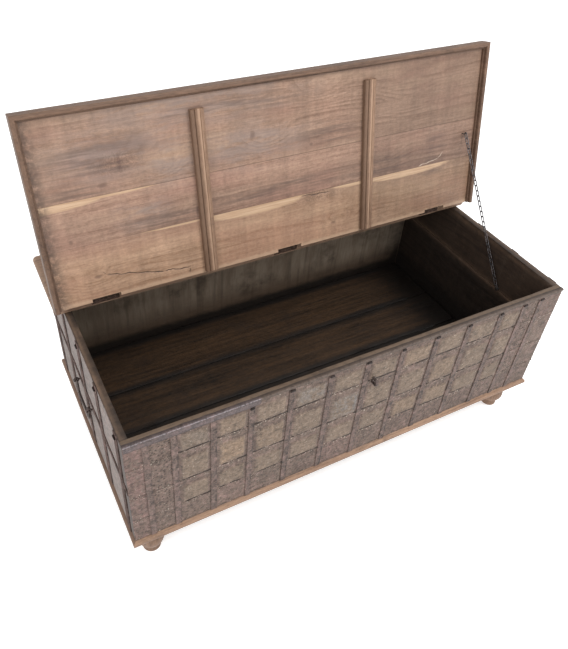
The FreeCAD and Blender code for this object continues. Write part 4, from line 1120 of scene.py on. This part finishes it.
def front_plate(x0, x1, z0, z1, raised, dotted, seed, settings):
    """One plate: flat, or with a raised square whose sides rise by 3t²-2t³ and whose face is crowned."""
    bottom = z0 < BASE_TOP + 2.0 * MM

    def depth_in(x, z):
        stray = noise_at(x, 0.3, z, 0.019, seed + 61, 3) * 3.2 * MM
        left = smooth((x - x0 - PANEL_SIDE_MARGIN + 0.5 * stray) / (1.4 * PANEL_SLOPE))
        right = smooth((x1 - PANEL_SIDE_MARGIN - x + 0.5 * stray) / (1.4 * PANEL_SLOPE))
        low = smooth((z - z0 - PANEL_BOTTOM_MARGIN + 0.3 * stray) / (0.7 * PANEL_SLOPE))
        high = smooth((z1 - PANEL_TOP_MARGIN - z + stray) / (2.4 * PANEL_SLOPE))
        return left * right * low * high

    def relief(x, z):
        curl = 0.9 + 0.9 * noise_at(x, 0.5, 0.0, 0.02, seed + 71, 2)
        rise = np.clip(curl, 0.1, 2.0) * 1.3 * MM * np.exp(-(z - z0) / (3.0 * MM)) * (not bottom)
        if raised:
            crown = 1.0 + 0.12 * np.sin(np.pi * (x - x0) / (x1 - x0)) * np.sin(np.pi * (z - z0) / (z1 - z0))
            rise = rise + PANEL_RISE * depth_in(x, z) * crown
        if dotted:
            rise = rise - 0.75 * MM * punched_dots(x, z, seed)
        return rise

    shell = hammered_sheet(x0, x1, z0, z1, 0.0, SHEET_THICKNESS, PLATE_CELL, seed,
                           (0.7 * MM, settings.plate_tear), settings.plate_dent, relief)
    x, _, z = shell.points.T
    across = np.minimum(x - x0, 1.6 * (x1 - x)) / (x1 - x0)
    up = np.minimum(z - z0 - PANEL_BOTTOM_MARGIN, z1 - PANEL_TOP_MARGIN - z) / (z1 - z0)
    broken = smooth(noise_at(x, 0.7, 0.3 * z, 0.014, seed + 81, 3) * 2.2 + 0.8)
    lip = np.clip(1.0 - (z1 - z) / (16.0 * MM), 0.0, 1.0) + np.clip(1.0 - (z - z0) / (11.0 * MM), 0.0, 1.0)
    # Painted shadow along the plate's lower edge, deeper under a raised panel.
    under = smooth(1.6 - (z - z0) / ((2.4 + 2.4 * broken) * MM)) * broken
    return shell.marked(panel=depth_in(x, z) * raised, lip=np.clip(lip, 0.0, 1.0),
                        middle=np.clip(5.5 * np.minimum(across - 0.08, up + 0.02), 0.0, 1.0) * raised,
                        hole=punched_dots(x, z, seed) * (0.6 if bottom else 1.0) * dotted,
                        seam=np.clip(under * (0.45 + 0.55 * raised), 0.0, 1.0), tone=chance(seed, 5))


class CHEST_OT_front_plates(bpy.types.Operator):
    """Hammer the front's four rows of plates, with raised squares in the wide columns"""
    bl_idname = "chest.front_plates"
    bl_label = "Front plates"

    def execute(self, context):
        outer = HALF_LENGTH + SHEET_THICKNESS
        edges = [-outer] + strap_places(FRONT_STRAP_SHARES, HALF_LENGTH) + [outer]
        levels = row_levels(FRONT_SEAM_SHARES)
        last = len(edges) - 2
        for row, name in enumerate(("top", "second", "third", "bottom")):
            shells = []
            for column in range(last + 1):
                raised = 1 < column < last - 1 and row < 3
                dotted = column in (1, last - 1) or row == 3
                shell = front_plate(edges[column] + SHEET_HALF_GAP, edges[column + 1] - SHEET_HALF_GAP,
                                    levels[row + 1] + SHEET_HALF_GAP, levels[row] - SHEET_HALF_GAP, raised,
                                    dotted, 200 + 20 * row + column, context.scene.chest_settings)
                place = (row, column)
                shells.append(shell.marked(warm=WARM_PLATES.get(place, 0.0) * shell.marks["panel"],
                                           cool=COOL_PLATES.get(place, 0.0) * shell.marks["middle"],
                                           red=RED_PLATES.get(place, 0.0)))
            node = "front_plates_%s_row" % name
            new_piece("hammered_" + node, moved(gathered(shells), on_front()), "chest", "Front plate metal",
                      node)
        return {"FINISHED"}


class CHEST_OT_end_plates(bpy.types.Operator):
    """Hammer the smooth plates of the two ends"""
    bl_idname = "chest.end_plates"
    bl_label = "End plates"

    def execute(self, context):
        settings = context.scene.chest_settings
        edges = [-HALF_DEPTH] + strap_places(END_STRAP_SHARES, HALF_DEPTH) + [HALF_DEPTH]
        levels = row_levels(END_SEAM_SHARES)
        for side, name, first in ((-1, "left", 600), (1, "right", 700)):
            shells = []
            for column, row in np.ndindex(len(edges) - 1, len(levels) - 1):
                x0 = edges[column] + SHEET_HALF_GAP
                x1 = edges[column + 1] - SHEET_HALF_GAP
                seed = first + 10 * column + row
                shell = hammered_sheet(x0, x1, levels[row + 1] + SHEET_HALF_GAP,
                                       levels[row] - SHEET_HALF_GAP, 0.0, SHEET_THICKNESS,
                                       2.0 * PLATE_CELL, seed, (0.5 * MM, 0.6 * MM),
                                       0.7 * settings.plate_dent)
                x, _, z = shell.points.T
                # Dirt and painted shade beside the straps, in the mark seam.
                stray = noise_at(x, 0.4, z, 0.03, first + 7, 3) * 7.0 * MM
                beside = np.minimum(x - x0, x1 - x) - END_STRAP_WIDTH / 2
                shells.append(shell.marked(seam=0.7 * (1.0 - smooth((beside + stray) / (20.0 * MM))),
                                           tone=chance(seed, 5)))
            node = name + "_end_plates"
            new_piece("hammered_" + node, moved(gathered(shells), on_end(side)), "chest", "End plate metal",
                      node)
        return {"FINISHED"}


def iron_strap(x0, x1, z0, z1, seed):
    """A strap over the plates, with ragged edges and an uneven hammered face."""
    shell = hammered_sheet(x0, x1, z0, z1, SHEET_THICKNESS, STRAP_FACE, STRAP_CELL, seed,
                           (0.9 * MM, 0.5 * MM), 0.35 * MM, edge_round=0.6 * MM)
    return shell.marked(tone=chance(seed, 9))


def folded_head(x, top, seed):
    """The strap's top end, folded outwards and down: a strip that turns through 240 degrees.

    Its oblong section is square to the path, and noise makes it uneven.
    """
    radius = HEAD_ROLL_RADIUS
    middle = (x, -STRAP_FACE - radius * 0.35, top - 2.0 * radius)
    bend = arc(middle, radius, 90.0, -150.0, -Y_AXIS, Z_AXIS, 10)
    path = np.concatenate([[(x, -SHEET_THICKNESS - 0.4 * MM, top - radius * 1.2)], bend])
    ahead = np.gradient(path, axis=0)
    out = np.cross(ahead / np.linalg.norm(ahead, axis=1)[:, None], X_AXIS)[:, None, :]
    width = HEAD_ROLL_WIDTH * (0.9 + 0.3 * chance(seed, 21))
    places, _, _ = rounded_outline(width, 1.5 * MM, 0.45 * MM, width / 5.0)
    points = path[:, None, :] + X_AXIS * places[:, :1] + out * places[:, 1:]
    points = points + 0.35 * MM * noise(points, 0.005, seed, 2)[..., None] * out
    return loft(points).marked(pit=1.3, tone=0.5, across=0.5)


def strap_nails(x, levels, seed):
    """Nail heads down the middle of a strap, a little off line."""
    return [dome((x + 1.6 * MM * (chance(seed + index, 3) - 0.5), -STRAP_FACE, level), -Y_AXIS, NAIL_RADIUS,
                 NAIL_HEIGHT, 8, seed + index) for index, level in enumerate(levels)]


def front_straps():
    """The straps and nails of the front, drawn on the plane y = 0 facing -Y."""
    straps = []
    nails = []
    half = FRONT_STRAP_WIDTH / 2
    spots = [level + shift * MM for level in row_levels(FRONT_SEAM_SHARES)[1:-1] for shift in (-14.0, 38.0)]
    for index, x in enumerate(strap_places(FRONT_STRAP_SHARES, HALF_LENGTH)):
        strap = iron_strap(x - half, x + half, BASE_TOP, SKIN_TOP, 300 + index)
        straps.append(strap.marked(tone=1.0) if index in PALE_STRAPS else strap)
        if x > EDGE_FLAP_END - 4.0 * half:
            under = EDGE_FLAP_DROP if x < EDGE_FLAP_END else EDGE_STRIP_DROP
            straps.append(folded_head(x, SKIN_TOP - under, 320 + index))
        nails += strap_nails(x, spots + [BASE_TOP + 12.0 * MM], 340 + 10 * index)
    return straps, nails


def end_straps(seed):
    """The straps, the level band and the nails of one end, drawn on the plane y = 0 facing -Y."""
    straps = []
    nails = []
    half = END_STRAP_WIDTH / 2
    band = row_levels(END_SEAM_SHARES)[1]
    places = strap_places(END_STRAP_SHARES, HALF_DEPTH)
    spots = [band + shift * MM for shift in (0.0, 78.0, 140.0, -70.0, -140.0)] + [BASE_TOP + 12.0 * MM]
    for index, x in enumerate(places):
        straps.append(iron_strap(x - half, x + half, BASE_TOP, SKIN_TOP, seed + index))
        straps.append(folded_head(x, SKIN_TOP - 3.0 * MM, seed + 20 + index))
        nails += strap_nails(x, spots, seed + 40 + 10 * index)
    ends = [-HALF_DEPTH] + [x + sign * half for x in places for sign in (-1, 1)] + [HALF_DEPTH]
    for index, (x0, x1) in enumerate(zip(ends[0::2], ends[1::2])):
        straps.append(iron_strap(x0 + SHEET_HALF_GAP, x1 - SHEET_HALF_GAP, band - END_BAND_WIDTH / 2,
                                 band + END_BAND_WIDTH / 2, seed + 60 + index))
        if x1 - x0 > 4.0 * half:
            for share in (0.25, 0.75):
                nails += strap_nails(x0 + share * (x1 - x0), (band,), seed + 70 + index)
    return straps, nails


class CHEST_OT_straps(bpy.types.Operator):
    """Nail the iron straps over the front and the ends"""
    bl_idname = "chest.straps"
    bl_label = "Straps"

    def execute(self, context):
        runs = (("front_strap", "Strap iron", on_front(), front_straps()),
                ("left_end_strap", "End strap iron", on_end(-1), end_straps(400)),
                ("right_end_strap", "End strap iron", on_end(1), end_straps(500)))
        for name, iron, matrix, (straps, nails) in runs:
            new_piece("hammered_%ss" % name, moved(gathered(straps), matrix), "chest", iron,
                      name + "s")
            new_piece(name + "_nails", moved(gathered(nails), matrix), "chest", iron)
        return {"FINISHED"}


class CHEST_OT_edge_strip(bpy.types.Operator):
    """Fold the strip over the front rim, with its deep flap at the left"""
    bl_idname = "chest.edge_strip"
    bl_label = "Edge strip"

    def execute(self, context):
        """The section runs over the rim and down the front; its drop changes along the strip.

        Along the outer line the strip goes from its seat to the edge, round a quarter circle and
        down to the drop. The inner line is the outer one moved in by the thickness.
        """
        outer_y = -HALF_DEPTH - STRAP_FACE - EDGE_STRIP_THICKNESS
        x = np.linspace(-HALF_LENGTH, HALF_LENGTH, 440)[:, None]
        flap = smooth((EDGE_FLAP_END - x) / (6.0 * MM))
        torn = noise_at(x, 0.0, 0.0, 0.012, 801, 3) * 1.1 * MM
        drop = EDGE_STRIP_DROP + (EDGE_FLAP_DROP - EDGE_STRIP_DROP) * flap + torn
        wave = noise_at(x, 0.0, 0.0, 0.07, 802, 2) * 0.5 * MM
        seat = EDGE_STRIP_SEAT + noise_at(x, 0.0, 0.0, 0.02, 803, 2) * 0.8 * MM
        bend = 1.6 * MM
        angles = np.radians(np.linspace(0.0, 90.0, 5))
        shares = np.linspace(0.25, 1.0, 5)
        lines = []
        for inset in (0.0, EDGE_STRIP_THICKNESS):
            ys = np.concatenate([seat * np.array([1.0, 0.5, 0.0]) - HALF_DEPTH,
                                 outer_y + bend - (bend - inset) * np.sin(angles) + 0.0 * x,
                                 outer_y + inset + wave * shares ** 2], 1)
            zs = np.concatenate([np.full((len(x), 3), RIM_LEVEL - inset),
                                 RIM_LEVEL - bend + (bend - inset) * np.cos(angles) + 0.0 * x,
                                 RIM_LEVEL - bend - (drop - bend) * shares], 1)
            lines.append(np.stack([x + 0.0 * ys, ys, zs], -1))
        loops = np.concatenate([lines[0], lines[1][:, ::-1]], 1)
        loops[..., 1] += noise(loops, 0.05, 804, 2) * 0.4 * MM + noise(loops, 0.012, 805, 2) * 0.15 * MM
        # Painted highlight along the fold, strongest on the deep flap.
        rub = np.zeros(loops.shape[:2])
        rub[:, 3:6] = np.array([0.5, 1.0, 0.5]) * (0.15 + 0.85 * flap)
        # Painted shade along the seat on the rim and under the strip's lower edge.
        pit = np.zeros(loops.shape[:2])
        pit[:, 0:3] = (1.0, 0.8, 0.2)
        pit[:, 12:14] = 0.8
        shell = loft(loops, {"rub": rub, "pit": pit, "far": 1.0 - flap + 0.0 * rub})
        new_piece("folded_front_edge_strip", shell, "chest", "Edge strip metal",
                  "front_edge_strip")
        return {"FINISHED"}


def lock_staple():
    """A bar bent to a half circle, with both legs in the wood."""
    nose = STAPLE_CENTRE - Y_AXIS * (STAPLE_REACH - STAPLE_RADIUS - STAPLE_HALF_SPACING)
    legs = STAPLE_CENTRE + Y_AXIS * np.linspace(STAPLE_SEAT, 0.0, 5)[:, None]
    bow = arc(nose, STAPLE_HALF_SPACING, -90.0, 90.0, -Y_AXIS, Z_AXIS, 16)
    path = np.concatenate([legs - Z_AXIS * STAPLE_HALF_SPACING, bow,
                           (legs + Z_AXIS * STAPLE_HALF_SPACING)[::-1]])
    return swept_bar(path, X_AXIS, STAPLE_RADIUS, 14, 901, 0.5 * MM)


def handle_eyes(hang, out):
    """The two eyes of a handle, each a ring, a shank and a washer."""
    eyes = []
    for sign in (-1, 1):
        middle = hang + Y_AXIS * (sign * EYE_HALF_SPACING)
        ring = arc(middle, EYE_RING_RADIUS, 0.0, 345.0, X_AXIS, Z_AXIS, 23)
        eyes.append(swept_bar(ring, Y_AXIS, EYE_BAR_RADIUS, 10, 910 + sign, 0.3 * MM, True))
        shank = middle - out * (EYE_RING_RADIUS + np.linspace(0.0, EYE_SHANK_LENGTH, 8)[:, None])
        eyes.append(swept_bar(shank, Y_AXIS, EYE_BAR_RADIUS, 10, 915 + sign, 0.2 * MM))
        eyes.append(turned_form(middle - out * (EYE_STANDOFF - SHEET_THICKNESS), out, WASHER_PROFILE, 18))
    return gathered(eyes)


def handle_bail(hang):
    """The hanging bail and its two turned ends, as one bar with its pins."""
    low = BAIL_DROP - BAIL_CORNER_RADIUS
    inner = BAIL_HALF_WIDTH - BAIL_CORNER_RADIUS
    near = hang - Y_AXIS * inner - Z_AXIS * low
    far = hang + Y_AXIS * inner - Z_AXIS * low
    side = hang + Z_AXIS * np.linspace(BAIL_PIN_RADIUS * 0.4, -low, 9)[:, None]
    path = np.concatenate([
        (side - Y_AXIS * BAIL_HALF_WIDTH)[:-1],
        arc(near, BAIL_CORNER_RADIUS, 180.0, 270.0, Y_AXIS, Z_AXIS, 9),
        near - Z_AXIS * BAIL_CORNER_RADIUS + (far - near) * np.linspace(0.0, 1.0, 20)[1:-1, None],
        arc(far, BAIL_CORNER_RADIUS, 270.0, 360.0, Y_AXIS, Z_AXIS, 9),
        (side + Y_AXIS * BAIL_HALF_WIDTH)[::-1][1:]])
    shells = [swept_bar(path, X_AXIS, BAIL_RADIUS, 14, 950, 0.5 * MM)]
    reach = EYE_HALF_SPACING + BAIL_PIN_OVERRUN - BAIL_PIN_RADIUS
    for sign in (-1, 1):
        pin = hang + Y_AXIS * sign * np.linspace(BAIL_HALF_WIDTH, reach, 8)[:, None]
        shells.append(swept_bar(pin, X_AXIS, BAIL_PIN_RADIUS, 12, 955 + sign, 0.2 * MM))
    return gathered(shells)


def chain_screw():
    """A low domed head on a plain shank."""
    base = np.array(CHAIN_SCREW) - X_AXIS * (CHAIN_WIRE_RADIUS + CHAIN_CLEARANCE)
    shank = base + X_AXIS * np.linspace(0.0, CHAIN_SCREW_TIP_X - base[0], 10)[:, None]
    return gathered([turned_form(base, -X_AXIS, SCREW_HEAD_PROFILE, 20),
                     swept_bar(shank, Z_AXIS, CHAIN_SCREW_RADIUS, 12, 930, 0.1 * MM)])


def lid_staple():
    """The wire staple's bar and legs, drawn with the lid closed and then opened with it."""
    middle = np.array(lid_opened().inverted() @ LID_STAPLE)
    bend = LID_STAPLE_RADIUS * 1.3
    left = middle - X_AXIS * LID_STAPLE_HALF_WIDTH
    right = middle + X_AXIS * LID_STAPLE_HALF_WIDTH
    legs = Z_AXIS * np.linspace(LID_STAPLE_LEG, bend, 6)[:, None]
    path = np.concatenate([
        left + legs, arc(left + (X_AXIS + Z_AXIS) * bend, bend, 180.0, 270.0, X_AXIS, Z_AXIS, 5)[1:],
        arc(right + (Z_AXIS - X_AXIS) * bend, bend, 270.0, 360.0, X_AXIS, Z_AXIS, 5),
        (right + legs)[::-1][1:]])
    return moved(swept_bar(path, Y_AXIS, LID_STAPLE_RADIUS, 10, 940, 0.1 * MM), lid_opened())


class CHEST_OT_fittings(bpy.types.Operator):
    """Forge the lock staple, the handle eyes, the bails, the chain's screw and the lid's staple"""
    bl_idname = "chest.fittings"
    bl_label = "Forged fittings"

    def execute(self, context):
        parts = [("forged_", "lock_staple", "chest", lock_staple())]
        for side, name in ((-1, "left"), (1, "right")):
            hang = np.array([side * (HALF_LENGTH + EYE_STANDOFF), 0.0, HANDLE_LEVEL])
            parts.append(("forged_", name + "_handle_eyes", "chest", handle_eyes(hang, side * X_AXIS)))
            parts.append(("forged_", name + "_handle_bail", name + "_handle", handle_bail(hang)))
        parts.append(("turned_", "chain_wall_screw", "chest", chain_screw()))
        parts.append(("bent_", "chain_lid_staple", "lid", lid_staple()))
        for work, node, body, shell in parts:
            new_piece(work + node, shell, body, "Forged iron", node)
        return {"FINISHED"}


def chain_link(centre, along, flat, seed):
    """One link: round wire along a long ring of two straights and two half circles."""
    normal = X_AXIS if flat else np.cross(along, X_AXIS)
    across = np.cross(along, normal)
    radius = CHAIN_INNER_WIDTH / 2 + CHAIN_WIRE_RADIUS
    half = CHAIN_INNER_LENGTH / 2 + CHAIN_WIRE_RADIUS - radius
    path = np.concatenate([arc(centre + along * half, radius, -90.0, 90.0, along, across, 9),
                           arc(centre - along * half, radius, 90.0, 270.0, along, across, 9)])
    return swept_bar(path, normal, CHAIN_WIRE_RADIUS, 10, seed, 0.12 * MM, True)


class CHEST_OT_chain(bpy.types.Operator):
    """Link the two lengths of the stay chain"""
    bl_idname = "chest.chain"
    bl_label = "Stay chain"

    def execute(self, context):
        along = (LID_STAPLE - CHAIN_SCREW).normalized()
        runs = (("chain_lower", CHAIN_SCREW, along, CHAIN_SCREW_RADIUS, LOWER_LINK_COUNT),
                ("chain_upper", LID_STAPLE, -along, LID_STAPLE_RADIUS, UPPER_LINK_COUNT))
        for body, pivot, way, seat, count in runs:
            first = CHAIN_INNER_LENGTH / 2 - seat - CHAIN_CLEARANCE
            links = [chain_link(np.array(pivot + way * (first + index * CHAIN_PITCH)), np.array(way),
                                index % 2 == 0, 960 + index) for index in range(count)]
            node = body + "_length"
            new_piece("linked_" + node, gathered(links), body, "Chain steel", node)
        return {"FINISHED"}


class CHEST_OT_timber(bpy.types.Operator):
    """Finish the timber of the ledge, the lid, the base frame and the feet"""
    bl_idname = "chest.timber"
    bl_label = "Top, base and feet"

    def execute(self, context):
        finishes = {
            "Ledge timber": "rear_ledge",
            "Lid timber": "lid_plank_rear lid_plank_middle lid_plank_front",
            "Batten timber left": "lid_batten_left",
            "Batten timber right": "lid_batten_right",
            "Lip timber": "lid_lip_front",
            "Lip timber across": "lid_lip_left lid_lip_right",
            "Base timber": "base_rail_front base_rail_back",
            "Foot timber": "foot_front_left foot_front_right foot_back_left foot_back_right",
            "Base timber across": "base_rail_left base_rail_right floor_bearer_left floor_bearer_right",
        }
        for name, nodes in finishes.items():
            for node in nodes.split():
                finish_node(node, name)
        return {"FINISHED"}


class CHEST_OT_hinges(bpy.types.Operator):
    """Finish the hinges and put in their screws"""
    bl_idname = "chest.hinges"
    bl_label = "Hinges"

    def execute(self, context):
        for name in ("left", "middle", "right"):
            for part in ("ledge_leaf", "lid_leaf", "pin"):
                finish_node("hinge_%s_%s" % (name, part), "Hinge steel")
            low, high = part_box("hinge_%s_pin" % name)
            sides = (("ledge", "chest", LEDGE_LEAF_FACE_Y, -Y_AXIS, 0, Matrix.Identity(4)),
                     ("lid", "lid", LID_LEAF_FACE_Y, Y_AXIS, 5, lid_opened()))
            for leaf, body, face_y, out, seed, matrix in sides:
                screws = [dome(((low[0] + high[0]) / 2 + shift, face_y, LID_TOPSIDE - HINGE_SCREW_DROP), out,
                               HINGE_SCREW_RADIUS, HINGE_SCREW_HEIGHT, 12, seed + index)
                          for index, shift in enumerate(HINGE_SCREW_SHIFTS)]
                new_piece("hinge_%s_%s_screws" % (name, leaf), moved(gathered(screws), matrix), body,
                          "Hinge steel")
        return {"FINISHED"}


class CHEST_OT_stage(bpy.types.Operator):
    """Lay the floor, light the chest and place the camera"""
    bl_idname = "chest.stage"
    bl_label = "Floor, light and camera"

    def execute(self, context):
        context.scene.view_settings.view_transform = "Standard"
        self.floor(context.scene)
        self.light(context.scene)
        self.camera(context.scene)
        return {"FINISHED"}

    def floor(self, scene):
        reach = 6.0
        mesh = bpy.data.meshes.new("studio_floor")
        corners = [(-reach, -reach, 0.0), (reach, -reach, 0.0), (reach, reach, 0.0), (-reach, reach, 0.0)]
        mesh.from_pydata(corners, [], [(0, 1, 2, 3)])
        inputs = new_material("Studio floor").tree.nodes["Principled BSDF"].inputs
        inputs["Base Color"].default_value = (0.92, 0.92, 0.92, 1.0)
        inputs["Roughness"].default_value = 0.9
        inputs["Emission Color"].default_value = (1.0, 1.0, 1.0, 1.0)
        inputs["Emission Strength"].default_value = 0.5
        mesh.materials.append(made("Studio floor"))
        ground = bpy.data.objects.new("studio_floor", mesh)
        scene.collection.objects.link(ground)

    def light(self, scene):
        scene.world = bpy.data.worlds.new("Studio")
        scene.world.use_nodes = True
        background = scene.world.node_tree.nodes["Background"].inputs
        background["Color"].default_value = (1.0, 1.0, 1.0, 1.0)
        background["Strength"].default_value = 0.92
        target = Vector((0.0, 0.0, 0.4))
        lamps = (("Key light", Vector((1.5, -1.6, 3.4)), 1.4, 70.0),
                 ("Fill light", Vector((-2.8, -1.6, 2.0)), 2.0, 18.0))
        for name, place, size, power in lamps:
            data = bpy.data.lights.new(name, "AREA")
            data.shape = "DISK"
            data.size = size
            data.energy = power
            lamp = bpy.data.objects.new(name, data)
            lamp.location = place
            lamp.rotation_euler = (target - place).to_track_quat("-Z", "Y").to_euler()
            scene.collection.objects.link(lamp)

    def camera(self, scene):
        """Its axes are worked out from azimuth, elevation and roll, as rows of a turn."""
        east = math.sin(CAMERA_AZIMUTH)
        north = math.cos(CAMERA_AZIMUTH)
        flat = math.cos(CAMERA_ELEVATION)
        ahead = Vector((east * flat, north * flat, -math.sin(CAMERA_ELEVATION)))
        level = Vector((north, -east, 0.0))
        right = level * math.cos(CAMERA_ROLL) + level.cross(ahead) * math.sin(CAMERA_ROLL)
        data = bpy.data.cameras.new("Camera")
        data.sensor_width = 36.0
        data.sensor_fit = "HORIZONTAL"
        data.lens = CAMERA_FOCAL_PIXELS / FRAME_WIDTH * data.sensor_width
        data.shift_x, data.shift_y = CAMERA_SHIFT
        scene.camera = bpy.data.objects.new("Camera", data)
        turn = Matrix((right, right.cross(ahead), -ahead)).transposed()
        scene.camera.matrix_world = Matrix.Translation(CAMERA_PLACE) @ turn.to_4x4()
        scene.collection.objects.link(scene.camera)


OPERATORS = (CHEST_OT_materials, CHEST_OT_boards, CHEST_OT_front_plates, CHEST_OT_end_plates,
             CHEST_OT_straps, CHEST_OT_edge_strip, CHEST_OT_fittings, CHEST_OT_chain, CHEST_OT_timber,
             CHEST_OT_hinges, CHEST_OT_stage)


class CHEST_PT_panel(bpy.types.Panel):
    """Lists the steps that dress the chest, and its settings"""
    bl_label = "Damchiya chest"
    bl_idname = "CHEST_PT_panel"
    bl_space_type = "VIEW_3D"
    bl_region_type = "UI"
    bl_category = "Chest"

    def draw(self, context):
        settings = context.scene.chest_settings
        for name in settings.bl_rna.properties.keys():
            if name not in ("rna_type", "name"):
                self.layout.prop(settings, name)
        for operator in OPERATORS:
            self.layout.operator(operator.bl_idname)


CLASSES = (ChestSettings,) + OPERATORS + (CHEST_PT_panel,)


def register():
    for item in CLASSES:
        bpy.utils.register_class(item)
    bpy.types.Scene.chest_settings = bpy.props.PointerProperty(type=ChestSettings)


def unregister():
    del bpy.types.Scene.chest_settings
    for item in reversed(CLASSES):
        bpy.utils.unregister_class(item)


def main():
    """Dress the frame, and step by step."""
    register()
    for operator in OPERATORS:
        group, name = operator.bl_idname.split(".")
        getattr(getattr(bpy.ops, group), name)()


if __name__ == "__main__":
    main()
